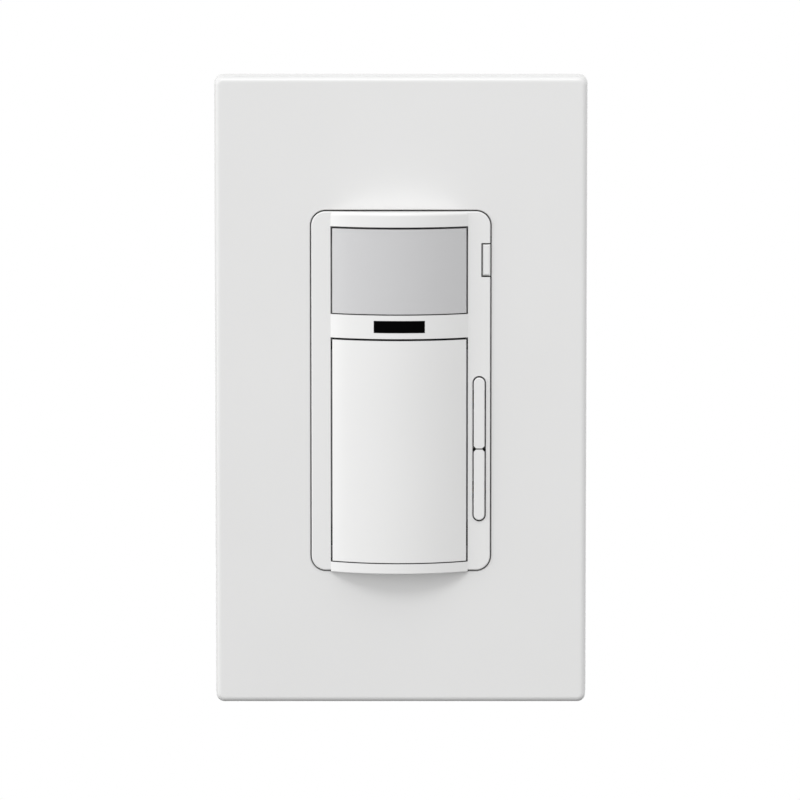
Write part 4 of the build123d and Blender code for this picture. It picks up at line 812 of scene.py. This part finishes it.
@dataclass
class Screw:
    """A machine screw: turned head with its drive, plain neck, rolled thread and point, in millimetres."""

    node: str
    head: Head
    drive: Drive
    seats: list[Seat]
    head_r: float
    head_height: float
    thread_r: float
    length: float
    neck: float = 0.0
    neck_r: float = 0.0
    point: float = 0.4
    pitch: float = 0.8
    thread_depth: float = 0.28
    slot_width: float = 0.9
    slot_depth: float = 0.8
    cross_share: float = 0.72
    slot_edge: float = 0.05
    overrun: float = 1.0
    sunk: float = 0.2
    washer_share: float = 0.25
    washer_shares: Pairs = ((1.0, 0.86), (0.8, 0.9), (0.0, 0.9))
    sides: int = 36
    steps: int = 9

    def make(self) -> Object:
        """Makes the screws.

        Returns:
            One object with a screw on each seat.
        """
        shape = self.make_head()
        skin(shape, self.shank_rows())
        return seated(self.node + "_turned", shape, self.seats)

    def make_head(self) -> BMesh:
        """Turns the head and cuts its drive.

        Returns:
            The head as a mesh under construction, with its underside at zero.
        """
        shape = bmesh.new()
        outline = shaped(HEAD_SHARES[self.head], 0.0, self.head_height, self.head_r)
        if self.head is Head.FLAT:
            outline.append((0.0, self.thread_r))
        rows = [ring_row(y, r, self.sides) for y, r in outline]
        if self.head is Head.HEX:
            rows = [self.hexed(row) for row in rows]
            washer = self.washer_share * self.head_height
            lathe(shape, shaped(self.washer_shares, 0.0, washer, self.head_r), self.sides)
        skin(shape, rows)
        head = as_object(self.node + "_head", shape)
        combine(head, self.make_cutter(), "DIFFERENCE")
        return reopened(head)

    def hexed(self, row: list[Vector]) -> list[Vector]:
        """Pulls a ring in to a hexagon, where it stands outside one.

        Args:
            row: The ring.

        Returns:
            The ring with its six flats.
        """
        side, half_side = 60.0, 30.0
        flat = self.head_r * math.cos(math.radians(half_side))
        pulled = []
        for corner in row:
            turn = math.degrees(math.atan2(corner.z, corner.x)) % side - half_side
            reach = math.hypot(corner.x, corner.z)
            share = min(1.0, flat / math.cos(math.radians(turn)) / reach)
            pulled.append(Vector((corner.x * share, corner.y, corner.z * share)))
        return pulled

    def make_cutter(self) -> Object:
        """Makes the shape that cuts the drive.

        Returns:
            The cutter.
        """
        deep = self.slot_depth + self.overrun
        middle = (0.0, -self.head_height + self.slot_depth - deep / 2, 0.0)
        shape = bmesh.new()
        brick(shape, middle, (2 * (self.head_r + self.overrun), deep, self.slot_width), self.slot_edge)
        slot = as_object(self.node + "_slot", shape)
        if self.drive is Drive.CROSSED:
            shape = bmesh.new()
            brick(shape, middle, (self.slot_width, deep, 2 * self.cross_share * self.head_r), self.slot_edge)
            combine(slot, as_object(self.node + "_cross", shape), "UNION")
        return slot

    def shank_rows(self) -> list[list[Vector]]:
        """The rings of the neck, the thread and the point below the head.

        Returns:
            The rings in order.
        """
        rows = []
        start = -self.sunk
        if self.neck:
            rows = [ring_row(y, self.neck_r, self.sides) for y in (start, self.neck)]
            start = self.neck
        end = self.length - self.point
        count = max(2, round((end - start) / self.pitch * self.steps))
        for step in range(count + 1):
            y = start + (end - start) * step / count
            rows.append(self.thread_row(y, min(1.0, (y - start) / self.pitch, (end - y) / self.pitch)))
        rows.append(ring_row(self.length, self.thread_r - self.thread_depth - self.point / 2, self.sides))
        return rows

    def thread_row(self, y: float, fade: float) -> list[Vector]:
        """One ring of the thread, whose flanks are a wave cut off at crest and root.

        Args:
            y: Its level.
            fade: How full the thread is there, from 0 to 1.

        Returns:
            The ring.
        """
        steepness, root = 1.5, 0.2
        row = []
        for side in range(self.sides):
            share = side / self.sides
            wave = abs(2 * ((y / self.pitch + share) % 1.0) - 1)
            crest = min(1.0, max(0.0, steepness * wave - root))
            r = self.thread_r - self.thread_depth * (1 - crest * fade)
            row.append(Vector((r * math.cos(FULL_TURN * share), y, r * math.sin(FULL_TURN * share))))
        return row


@dataclass
class Screws:
    """Every screw of the switch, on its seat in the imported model, in millimetres."""

    finishing: Finishing
    strap_front: float = -0.9
    box_z: float = 41.67
    plate_z: float = 48.42
    plate_seat: float = -1.6
    column_x: float = 18.4
    column_z: float = 30.4
    housing_seat: float = 31.2
    terminal_x: float = 18.4
    terminal_y: float = 17.0
    terminal_z: float = 8.0
    triac_place: Point = (-9.6, 2.1, -10.8992)
    ground_place: Point = (13.0, 0.6, -36.3)

    def build(self) -> None:
        """Makes all the screws and dresses them."""
        screws = [self.box(), self.plate(), self.housing(), self.triac(), self.ground()]
        screws += [self.terminal("live_screws"), self.terminal("neutral_screws")]
        for screw in screws:
            self.finishing.dress(screw.make(), screw.node)

    def box(self) -> Screw:
        """The two long screws for the wall box."""
        seats = [Seat((0.0, self.strap_front, end * self.box_z)) for end in ENDS]
        return Screw("box_screws", Head.PAN, Drive.CROSSED, seats, head_r=3.3, head_height=2.0, thread_r=1.75,
                     length=24.98, neck=2.38, neck_r=1.4, point=0.6)

    def plate(self) -> Screw:
        """The two countersunk screws of the sub-plate."""
        seats = [Seat((0.0, self.plate_seat, end * self.plate_z)) for end in ENDS]
        return Screw("plate_screws", Head.FLAT, Drive.SLOT, seats, head_r=3.27, head_height=1.5,
                     thread_r=1.75, length=3.4)

    def housing(self) -> Screw:
        """The four long screws that close the housing."""
        seats = [Seat((x * self.column_x, self.housing_seat, z * self.column_z), OUTWARD)
                 for x, z in product(ENDS, ENDS)]
        return Screw("housing_screws", Head.CHEESE, Drive.CROSSED, seats, head_r=2.1, head_height=1.4,
                     thread_r=1.25, length=32.1, neck=22.0, neck_r=1.08, pitch=0.5, thread_depth=0.18,
                     slot_width=0.7)

    def triac(self) -> Screw:
        """The screw that presses the power switch's tab on the strap."""
        return Screw("triac_screw", Head.PAN, Drive.CROSSED, [Seat(self.triac_place, OUTWARD)], head_r=2.7,
                     head_height=1.6, thread_r=1.5, length=3.0, pitch=0.5, thread_depth=0.2)

    def ground(self) -> Screw:
        """The green earth screw on the strap."""
        return Screw("ground_screw", Head.HEX, Drive.SLOT, [Seat(self.ground_place, OUTWARD)], head_r=2.9,
                     head_height=2.2, thread_r=1.75, length=1.5, point=0.1)

    def terminal(self, node: str) -> Screw:
        """The two wire screws in one side's pocket.

        Args:
            node: The node that they stand for.

        Returns:
            The screw with its two seats.
        """
        low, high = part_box(node)
        side = 1 if low[0] + high[0] > 0 else -1
        places = [(side * self.terminal_x, self.terminal_y, end * self.terminal_z) for end in ENDS]
        seats = [Seat(place, (-side, 0.0, 0.0)) for place in places]
        return Screw(node, Head.PAN, Drive.CROSSED, seats, head_r=3.1, head_height=1.9, thread_r=1.6,
                     length=5.4, pitch=0.7)


@dataclass
class LeafSpring:
    """The pad's return spring: a formed strip, riveted on the strap, that reaches to the pad.

    The centre line runs from the foot over the heel and the crest to the lip, in the middle of the thickness.
    """

    finishing: Finishing
    centre_x: float = -0.28
    foot_z: float = -29.62
    heel_z: float = -25.12
    foot_y: float = -1.05
    crest_y: float = -7.27
    crest_z: float = -17.466
    lip_y: float = -6.97
    lip_z: float = -16.466
    width: float = 5.0
    tip_width: float = 3.8
    thickness: float = 0.3
    edge: float = 0.06
    bend: float = 0.8
    steps: int = 6
    run_steps: int = 12
    rivet_z: float = -27.37
    rivet_r: float = 0.9
    rivet_end_y: float = 0.6
    head_r: float = 1.5
    head_height: float = 0.35
    head_step: float = 0.01
    head_shares: Pairs = ((1.0, 0.3), (0.95, 0.6), (0.7, 0.87), (0.35, 0.98), (0.0, 1.0))

    def build(self) -> None:
        """Makes the strip, which reaches from the frame to the pad, and its rivet."""
        shape = bmesh.new()
        line = self.centre_line()
        skin(shape, [self.section(line, place) for place in range(len(line))])
        start = (0.0, 0.0, self.heel_z * MM)
        end = (0.0, 0.0, self.crest_z * MM)
        self.finishing.bridge(as_object("leaf_spring", shape), "pad", start, end, "pad_spring")
        seat = Seat((self.centre_x, 0.0, self.rivet_z))
        self.finishing.dress(turned("spring_rivet", self.rivet_outline(), seat), slot="screw_steel")

    def centre_line(self) -> list[Vector]:
        """The strip's centre line: foot, heel, a long run, crest and lip, with its bends rounded.

        Returns:
            Its points in millimetres.
        """
        foot = Vector((self.centre_x, self.foot_y, self.foot_z))
        heel = Vector((self.centre_x, self.foot_y, self.heel_z))
        crest = Vector((self.centre_x, self.crest_y, self.crest_z))
        lip = Vector((self.centre_x, self.lip_y, self.lip_z))
        rise = (crest - heel).normalized()
        heel_out = heel + rise * self.bend
        crest_in = crest - rise * self.bend / 2
        line = [foot] + self.curve(heel + (foot - heel).normalized() * self.bend, heel, heel_out)
        line += [heel_out.lerp(crest_in, step / self.run_steps) for step in range(1, self.run_steps)]
        return line + self.curve(crest_in, crest, crest + (lip - crest) / 2) + [lip]

    def curve(self, start: Vector, corner: Vector, end: Vector) -> list[Vector]:
        """The points of a curve that leaves and meets two straight runs smoothly."""
        shares = [step / self.steps for step in range(self.steps + 1)]
        return [start.lerp(corner, share).lerp(corner.lerp(end, share), share) for share in shares]

    def section(self, line: list[Vector], place: int) -> list[Vector]:
        """The strip's outline at one point of the line: a flat oblong with broken corners.

        Args:
            line: The centre line.
            place: Which of its points.

        Returns:
            Eight points, in metres.
        """
        point = line[place]
        over = way_at(line, place).cross(Vector((1.0, 0.0, 0.0)))
        share = min(max((point.z - self.heel_z) / (self.crest_z - self.heel_z), 0.0), 1.0)
        half = (self.width + share * (self.tip_width - self.width)) / 2
        rise = self.thickness / 2
        near, low = half - self.edge, rise - self.edge
        right = [(near, rise), (half, low), (half, -low), (near, -rise)]
        pairs = right + [(-x, height) for x, height in reversed(right)]
        return [(point + Vector((x, 0.0, 0.0)) + over * height) * MM for x, height in pairs]

    def rivet_outline(self) -> Outline:
        """The rivet's outline, from its rounded head to its end in the strap.

        Returns:
            Pairs of a level along Y and a radius.
        """
        base = self.foot_y - self.thickness / 2
        head = shaped(self.head_shares, base, self.head_height, self.head_r)
        return head + [(base + self.head_step, self.rivet_r), (self.rivet_end_y, self.rivet_r)]


@dataclass
class ChokeWinding:
    """The choke's enamelled wire: one layer of turns round the ring core, with two leads to the board."""

    finishing: Finishing
    axis_x: float = 3.2
    axis_z: float = -8.01
    front: float = 17.0
    back: float = 23.0
    inner_r: float = 4.4
    outer_r: float = 8.0
    wire_r: float = 0.42
    turns: int = 24
    spread: float = 300.0
    corner_points: int = 4
    lead_turn: float = 4.0
    lead_rises: tuple[float, float] = (0.5, 1.4)
    lead_end: float = 26.3

    def build(self) -> None:
        """Winds the wire and dresses it."""
        shape = bmesh.new()
        tube(shape, [point * MM for point in self.wire_path()], self.wire_r * MM)
        self.finishing.dress(as_object("choke_wire", shape), "choke_winding")

    def section(self) -> Outline:
        """One turn round the core's section, with rounded corners.

        Returns:
            Pairs of a radius and a level along Y.
        """
        quarter = 90.0
        outer = [(self.outer_r, self.back), (self.outer_r, self.front)]
        inner = [(self.inner_r, self.front), (self.inner_r, self.back)]
        loop = []
        for count, (r, y) in enumerate(outer + inner):
            for step in range(self.corner_points):
                turn = math.radians(quarter * (1 - count) - quarter * step / (self.corner_points - 1))
                loop.append((r + self.wire_r * math.cos(turn), y + self.wire_r * math.sin(turn)))
        return loop

    def point_at(self, r: float, y: float, turn: float) -> Vector:
        """The point at a radius, a level and an angle in degrees round the choke's axis."""
        angle = math.radians(turn)
        return Vector((self.axis_x + r * math.cos(angle), y, self.axis_z + r * math.sin(angle)))

    def wire_path(self) -> list[Vector]:
        """The wire's centre line from one lead to the other.

        Returns:
            Its points in millimetres.
        """
        loop = self.section()
        start = (FULL_DEGREES - self.spread) / 2
        path = []
        for turn in range(self.turns):
            for step, (r, y) in enumerate(loop):
                share = (turn + step / len(loop)) / self.turns
                path.append(self.point_at(r, y, start + self.spread * share))
        levels = [self.back + rise for rise in self.lead_rises] + [self.lead_end]
        reach = self.outer_r + self.wire_r
        first = [self.point_at(reach, y, start - self.lead_turn) for y in reversed(levels)]
        last = [self.point_at(reach, y, start + self.spread + self.lead_turn) for y in levels]
        return first + path + last


@dataclass
class CapacitorCan:
    """The electrolytic capacitor: a shrunk sleeve over a beaded can, with a scored vent in its top.

    The rows pair a depth below the top, or a height above the foot, with a share of the radius.
    """

    finishing: Finishing
    axis_x: float = 8.0
    axis_z: float = 23.49
    top: float = 12.0
    foot: float = 24.0
    r: float = 4.0
    top_rows: Pairs = (
        (0.30, 0.80), (0.12, 0.82), (0.02, 0.86), (0.0, 0.90), (0.06, 0.95), (0.22, 0.985), (0.5, 1.0),
    )
    foot_rows: Pairs = (
        (2.6, 1.0), (2.35, 0.985), (2.15, 0.945), (2.0, 0.93), (1.85, 0.945), (1.65, 0.985), (1.4, 1.0),
        (0.3, 1.0), (0.1, 0.97), (0.0, 0.92),
    )
    lid_share: float = 0.815
    lid_rows: Pairs = ((0.16, 0.9), (0.2, 1.0), (0.6, 1.0))
    vent_turns: tuple[float, ...] = (0.0, 60.0, 120.0)
    vent_length_share: float = 1.3
    vent_depth: float = 0.16
    vent_width: float = 0.22
    vent_edge: float = 0.03
    sides: int = 56

    def build(self) -> None:
        """Makes the sleeve and the vented top and dresses them."""
        seat = Seat((self.axis_x, 0.0, self.axis_z))
        sleeve = turned("can_sleeve", self.sleeve_outline(), seat, sides=self.sides)
        self.finishing.dress(sleeve, "electrolytic_capacitor")
        self.finishing.dress(seated("can_top", reopened(self.make_lid()), [seat]), slot="nickel")

    def sleeve_outline(self) -> Outline:
        """Levels and radii of the sleeve: depths below the top, then heights above the foot with its bead."""
        rim = [(self.top + depth, share * self.r) for depth, share in self.top_rows]
        return rim + [(self.foot - height, share * self.r) for height, share in self.foot_rows]

    def make_lid(self) -> Object:
        """Makes the can's top with its crossed vent lines.

        Returns:
            The top in millimetres, on the Y axis.
        """
        shape = bmesh.new()
        r = self.lid_share * self.r
        lathe(shape, [(self.top + depth, share * r) for depth, share in self.lid_rows], self.sides)
        lid = as_object("can_lid", shape)
        centre = (0.0, self.top + self.lid_rows[0][0], 0.0)
        size = (self.vent_length_share * r, self.vent_depth, self.vent_width)
        for turn in self.vent_turns:
            shape = bmesh.new()
            brick(shape, centre, size, self.vent_edge)
            bmesh.ops.rotate(shape, matrix=Matrix.Rotation(math.radians(turn), 3, "Y"), verts=shape.verts[:])
            combine(lid, as_object("vent_line", shape), "DIFFERENCE")
        return lid


@dataclass
class DippedDisc:
    """The varistor: a disc dipped in resin, thick in the middle, with the resin run down onto its leads."""

    finishing: Finishing
    axis_x: float = -6.5024
    axis_z: float = 24.51
    middle: float = 18.0
    r: float = 4.4
    thickness: float = 3.4
    face_power: float = 0.55
    rim_power: float = 0.42
    rings: int = 14
    sides: int = 40
    lead_r: float = 0.3
    lead_step: float = 5.0
    lead_end: float = 26.4
    lead_top_share: float = 0.55
    lead_sides: int = 10
    run_length: float = 0.9
    run_shares: Pairs = ((1.0, 3.2), (0.45, 2.6), (0.15, 1.7), (0.0, 1.05))
    run_sides: int = 14

    def build(self) -> None:
        """Makes the disc, its leads and the resin on them and dresses them."""
        seat = Seat((self.axis_x, self.middle, self.axis_z), UPWARD)
        disc = turned("varistor_disc", self.section(), seat, sides=self.sides)
        self.finishing.dress(disc, "varistor")
        legs, runs = bmesh.new(), bmesh.new()
        top = self.middle + self.lead_top_share * self.r
        root = self.middle + self.r + self.run_length
        outline = [(share * (top - root), r_share * self.lead_r) for share, r_share in self.run_shares]
        for end in ENDS:
            foot = Vector((self.axis_x + end * self.lead_step / 2, root, self.axis_z))
            path = [Vector((foot.x, y, foot.z)) * MM for y in (top, root, self.lead_end)]
            tube(legs, path, self.lead_r * MM, self.lead_sides)
            rows = [ring_row(y, r, self.run_sides) for y, r in outline]
            skin(runs, [[(corner + foot) * MM for corner in row] for row in rows])
        self.finishing.dress(as_object("varistor_legs", legs), slot="nickel")
        self.finishing.dress(as_object("varistor_runs", runs), slot="varistor_resin")

    def section(self) -> Outline:
        """The disc's outline: flat faces that roll over to a full rim.

        Returns:
            Pairs of a level along its axis and a radius.
        """
        pairs = []
        for ring in range(1, 2 * self.rings):
            turn = math.pi * ring / (2 * self.rings)
            level = -math.cos(turn)
            flat = math.copysign(abs(level) ** self.face_power, level)
            pairs.append((self.thickness / 2 * flat, self.r * math.sin(turn) ** self.rim_power))
        return pairs


@dataclass
class Solder:
    """Solder cones where leads come through the back of the two boards, in millimetres.

    The lead pairs give two places along X and one along Z. The rows pair a level with a share of the radius.
    """

    finishing: Finishing
    board_back: float = 7.6
    power_back: float = 25.6
    pin_xs: tuple[float, ...] = (-5.08, -2.54, 0.0, 2.54, 5.08)
    pin_z: float = -26.01
    lead_pairs: tuple[tuple[float, float, float], ...] = (
        (-9.0024, -4.0024, 24.51), (-10.7984, -0.7984, 9.0), (6.25, 9.75, 23.49), (4.05, 9.95, 14.61),
    )
    r: float = 0.85
    rows: Pairs = ((-0.02, 1.0), (0.06, 0.97), (0.2, 0.72), (0.45, 0.48), (0.85, 0.36), (0.9, 0.2))
    sides: int = 18

    def build(self) -> None:
        """Makes all the cones and dresses them."""
        outline = [(y, share * self.r) for y, share in self.rows]
        seats = [Seat(place) for place in self.places()]
        self.finishing.dress(turned("solder_joints", outline, *seats, sides=self.sides), slot="nickel")

    def places(self) -> list[Point]:
        """Where leads come through: the pins of both boards, and pairs of leads of the power board."""
        found = [(x, y, self.pin_z) for y in (self.board_back, self.power_back) for x in self.pin_xs]
        return found + [(x, self.power_back, z) for near, far, z in self.lead_pairs for x in (near, far)]


@dataclass
class BoardChips:
    """Small resistors and capacitors on the free places of a board's face, in millimetres."""

    finishing: Finishing
    name: str
    board: str
    neighbours: tuple[str, ...]
    joints: list[Point]
    face: Face
    columns: int
    rows: int
    length: float = 2.0
    width: float = 1.25
    height: float = 0.55
    cap: float = 0.42
    cap_step: float = 0.06
    body_edge: float = 0.05
    cap_edge: float = 0.06
    room: float = 0.5
    margin: float = 1.6
    joint_r: float = 0.9
    upright_every: int = 3
    gap_every: int = 4
    column_step: int = 5
    row_step: int = 3

    def build(self) -> None:
        """Lays the parts out and dresses them."""
        bodies, ends = bmesh.new(), bmesh.new()
        places = self.free_places()
        for count, place in enumerate(places):
            self.add_part(bodies, ends, place, count % self.upright_every == 0)
        for shape in (bodies, ends):
            bmesh.ops.transform(shape, matrix=Matrix.Scale(MM, 4), verts=shape.verts[:])
        self.finishing.dress(as_object(self.name + "_chips", bodies), slot="chip_resin")
        self.finishing.dress(as_object(self.name + "_chip_ends", ends), slot="nickel")
        log.info("%s carries %d small parts", self.board, len(places))

    def add_part(self, bodies: BMesh, ends: BMesh, place: Point, upright: bool) -> None:
        """Adds one part.

        Args:
            bodies: The mesh of the dark middles.
            ends: The mesh of the tinned ends.
            place: The part's middle.
            upright: Whether it lies along Z and not along X.
        """
        middle = (self.length - 2 * self.cap, self.height, self.width)
        cap = (self.cap, self.height + self.cap_step, self.width + self.cap_step)
        brick(bodies, place, middle[::-1] if upright else middle, self.body_edge)
        x, y, z = place
        for end in ENDS:
            shift = end * (self.length - self.cap) / 2
            centre = (x, y, z + shift) if upright else (x + shift, y, z)
            brick(ends, centre, cap[::-1] if upright else cap, self.cap_edge)

    def free_places(self) -> list[Point]:
        """Places on the face that no other node comes near.

        Returns:
            The middles of the parts.
        """
        low, high = (Vector(corner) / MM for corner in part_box(self.board))
        level = (high if self.face is Face.BACK else low).y + self.face.value * self.height / 2
        front, back = level - self.height, level + self.height
        boxes = [[Vector(corner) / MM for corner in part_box(node)] for node in self.neighbours]
        taken = [(near, far) for near, far in boxes if near.y < back and far.y > front]
        around = Vector((self.joint_r, 0.0, self.joint_r))
        taken += [(Vector(place) - around, Vector(place) + around) for place in self.joints]
        reach = self.length / 2 + self.room
        found = []
        for column, row in product(range(self.columns), range(self.rows)):
            if (column * self.column_step + row * self.row_step) % self.gap_every == 0:
                continue
            x = low.x + self.margin + (high.x - low.x - 2 * self.margin) * (column + 0.5) / self.columns
            z = low.z + self.margin + (high.z - low.z - 2 * self.margin) * (row + 0.5) / self.rows
            if all(x + reach < near.x or x - reach > far.x or z + reach < near.z or z - reach > far.z
                   for near, far in taken):
                found.append((x, level, z))
        return found


@dataclass(frozen=True)
class Softbox:
    """A soft lamp that faces the switch: a broad one for the shading, or a strip for the highlights."""

    name: str
    azimuth: float
    elevation: float
    distance: float
    width: float
    height: float
    share: float

    def place(self, aim: Vector) -> Vector:
        """Where the lamp stands.

        Args:
            aim: The point that it faces.

        Returns:
            Its centre.
        """
        turn, lift = math.radians(self.azimuth), math.radians(self.elevation)
        way = Vector((-math.sin(turn) * math.cos(lift), -math.cos(turn) * math.cos(lift), math.sin(lift)))
        return aim + way * self.distance

    def build(self, aim: Vector) -> None:
        """Adds the lamp, with the power that gives the switch's face its share of the light.

        Args:
            aim: The point that it faces.
        """
        data = bpy.data.lights.new(self.name, "AREA")
        data.shape = "RECTANGLE"
        data.size = self.width
        data.size_y = self.height
        place = self.place(aim)
        slant = (aim - place).normalized().y
        data.energy = self.share * math.pi ** 2 * self.distance ** 2 / slant
        lamp = bpy.data.objects.new(self.name, data)
        bpy.context.collection.objects.link(lamp)
        lamp.location = place
        lamp.rotation_euler = (aim - place).to_track_quat("-Z", "Y").to_euler()
        log.info("lamp %s gives %.3f of the face's light", self.name, self.share)


@dataclass
class Studio:
    """Soft light from above and from the left, a pale floor well below the switch, and the camera."""

    distance: float = 1.0
    elevation: float = 5.8
    frame_width: float = 0.14846
    sensor: float = 36.0
    reach: float = 10.0
    aim: Point = (-0.00015, 0.0, -0.00228)
    dome_light: float = 0.722
    dome_slope: float = 0.18
    wall_share: float = 0.25
    wall_fall: tuple[float, float] = (0.0, 0.35)
    wall_rise: tuple[float, float] = (0.65, 0.9)
    lamps: tuple[Softbox, ...] = (
        Softbox("top_light", azimuth=12.0, elevation=48.0, distance=3.6, width=1.0, height=1.0, share=0.15),
        Softbox("left_light", azimuth=68.0, elevation=10.0, distance=3.2, width=1.0, height=1.0, share=0.066),
        Softbox("top_strip", azimuth=0.0, elevation=68.0, distance=2.8, width=0.2, height=1.4, share=0.028),
        Softbox("left_strip", azimuth=76.0, elevation=-5.0, distance=2.8, width=1.4, height=0.2, share=0.018),
    )
    floor_z: float = -0.45
    floor_r: float = 0.75
    floor_sides: int = 96
    floor_colour: Colour = (0.86, 0.86, 0.86)
    floor_cool: Colour = (0.8428, 0.8428, 0.8428)
    floor_return: Colour = (0.12, 0.12, 0.12)
    floor_roughness: float = 0.7

    def build(self) -> None:
        """Makes the world, the lamps, the floor and the camera."""
        self.make_world()
        for lamp in self.lamps:
            lamp.build(Vector(self.aim))
        self.make_floor()
        self.make_camera()
        bpy.context.scene.view_settings.view_transform = "Standard"

    def make_world(self) -> None:
        """White for camera, glossy and transmission rays, and for the rest a dome.

        The dome is lighter above than below, and full before the switch and straight behind it, with less
        light between, where the wall would be.
        """
        world = bpy.data.worlds.new("studio")
        bpy.context.scene.world = world
        world.use_nodes = True
        mixer = Mixer(world.node_tree)
        mixer.tree.nodes.clear()
        path = mixer.node("ShaderNodeLightPath").outputs
        seen = mixer.maths("MAXIMUM", path["Is Camera Ray"], path["Is Transmission Ray"])
        seen = mixer.maths("MAXIMUM", seen, path["Is Glossy Ray"])
        generated = mixer.node("ShaderNodeTexCoord").outputs["Generated"]
        way = mixer.node("ShaderNodeSeparateXYZ", {0: generated}).outputs
        ends = (self.dome_light - self.dome_slope, self.dome_light + self.dome_slope)
        dome = mixer.spread(way["Z"], (-1.0, 1.0), ends)
        fall = mixer.spread(way["Y"], self.wall_fall, (1.0, self.wall_share))
        rise = mixer.spread(way["Y"], self.wall_rise, (0.0, 1.0 - self.wall_share))
        lit = mixer.maths("MULTIPLY", dome, mixer.maths("ADD", fall, rise))
        unseen = mixer.maths("MULTIPLY", lit, mixer.maths("SUBTRACT", 1.0, seen))
        feeds = {"Strength": mixer.maths("ADD", unseen, seen), "Color": (1.0, 1.0, 1.0)}
        background = mixer.node("ShaderNodeBackground", feeds)
        mixer.node("ShaderNodeOutputWorld", {"Surface": background.outputs[0]})

    def make_floor(self) -> None:
        """Adds a pale round floor, out of the photograph's view, that gives little light back upwards."""
        shape = bmesh.new()
        bmesh.ops.create_circle(shape, cap_ends=True, radius=self.floor_r, segments=self.floor_sides)
        floor = as_object("studio_floor", shape)
        floor.location = (0.0, 0.0, self.floor_z)
        material, mixer, shader = new_material("studio_floor")
        noise = mixer.node("ShaderNodeTexNoise", {"Scale": 2.0}).outputs[0]
        tone = mixer.mix(noise, self.floor_colour, self.floor_cool)
        seen = mixer.node("ShaderNodeLightPath").outputs["Is Camera Ray"]
        colour = mixer.mix(seen, self.floor_return, tone)
        mixer.feed(shader, {"Base Color": colour, "Roughness": self.floor_roughness})
        floor.data.materials.append(material)

    def make_camera(self) -> None:
        """Adds the camera at the photograph's angle."""
        data = bpy.data.cameras.new("camera")
        data.sensor_width = self.sensor
        data.lens = self.sensor * self.distance / self.frame_width
        data.clip_end = self.reach
        camera = bpy.data.objects.new("camera", data)
        bpy.context.collection.objects.link(camera)
        lift = math.radians(self.elevation)
        back = Vector((0.0, -math.cos(lift), math.sin(lift))) * self.distance
        camera.location = Vector(self.aim) + back
        camera.rotation_euler = (-back).to_track_quat("-Z", "Y").to_euler()
        bpy.context.scene.camera = camera


def board_chips(finishing: Finishing, joints: list[Point]) -> list[BoardChips]:
    """The small parts of the two boards' faces.

    Args:
        finishing: The finishes.
        joints: Where leads come through the boards' backs.

    Returns:
        One layout a face.
    """
    front = ("pir_sensor", "light_baffle", "light_pipe", "status_led", "light_cell", "pad_switch_plunger",
             "switch_bodies", "airgap_contacts", "connector_pins", "triac")
    back = ("controller_chip", "pir_sensor", "triac", "board_connector", "electrolytic_capacitor")
    pins = ("connector_pins",)
    return [
        BoardChips(finishing, "control_front", "control_board", front, joints, Face.FRONT,
                   columns=9, rows=18),
        BoardChips(finishing, "control_back", "control_board", back, joints, Face.BACK,
                   columns=8, rows=16),
        BoardChips(finishing, "power_back", "power_board", pins, joints, Face.BACK,
                   columns=6, rows=14),
    ]


def main() -> None:
    """Builds the sub-assemblies in order, then the studio."""
    logging.basicConfig(level=logging.INFO, format="%(message)s")
    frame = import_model()
    finishing = Finishing(frame)
    finishing.dress_nodes()
    solder = Solder(finishing)
    assemblies = [Screws(finishing), LeafSpring(finishing), ChokeWinding(finishing), CapacitorCan(finishing)]
    assemblies += [DippedDisc(finishing), solder, *board_chips(finishing, solder.places())]
    for assembly in assemblies:
        assembly.build()
    Studio().build()


if __name__ == "__main__":
    main()
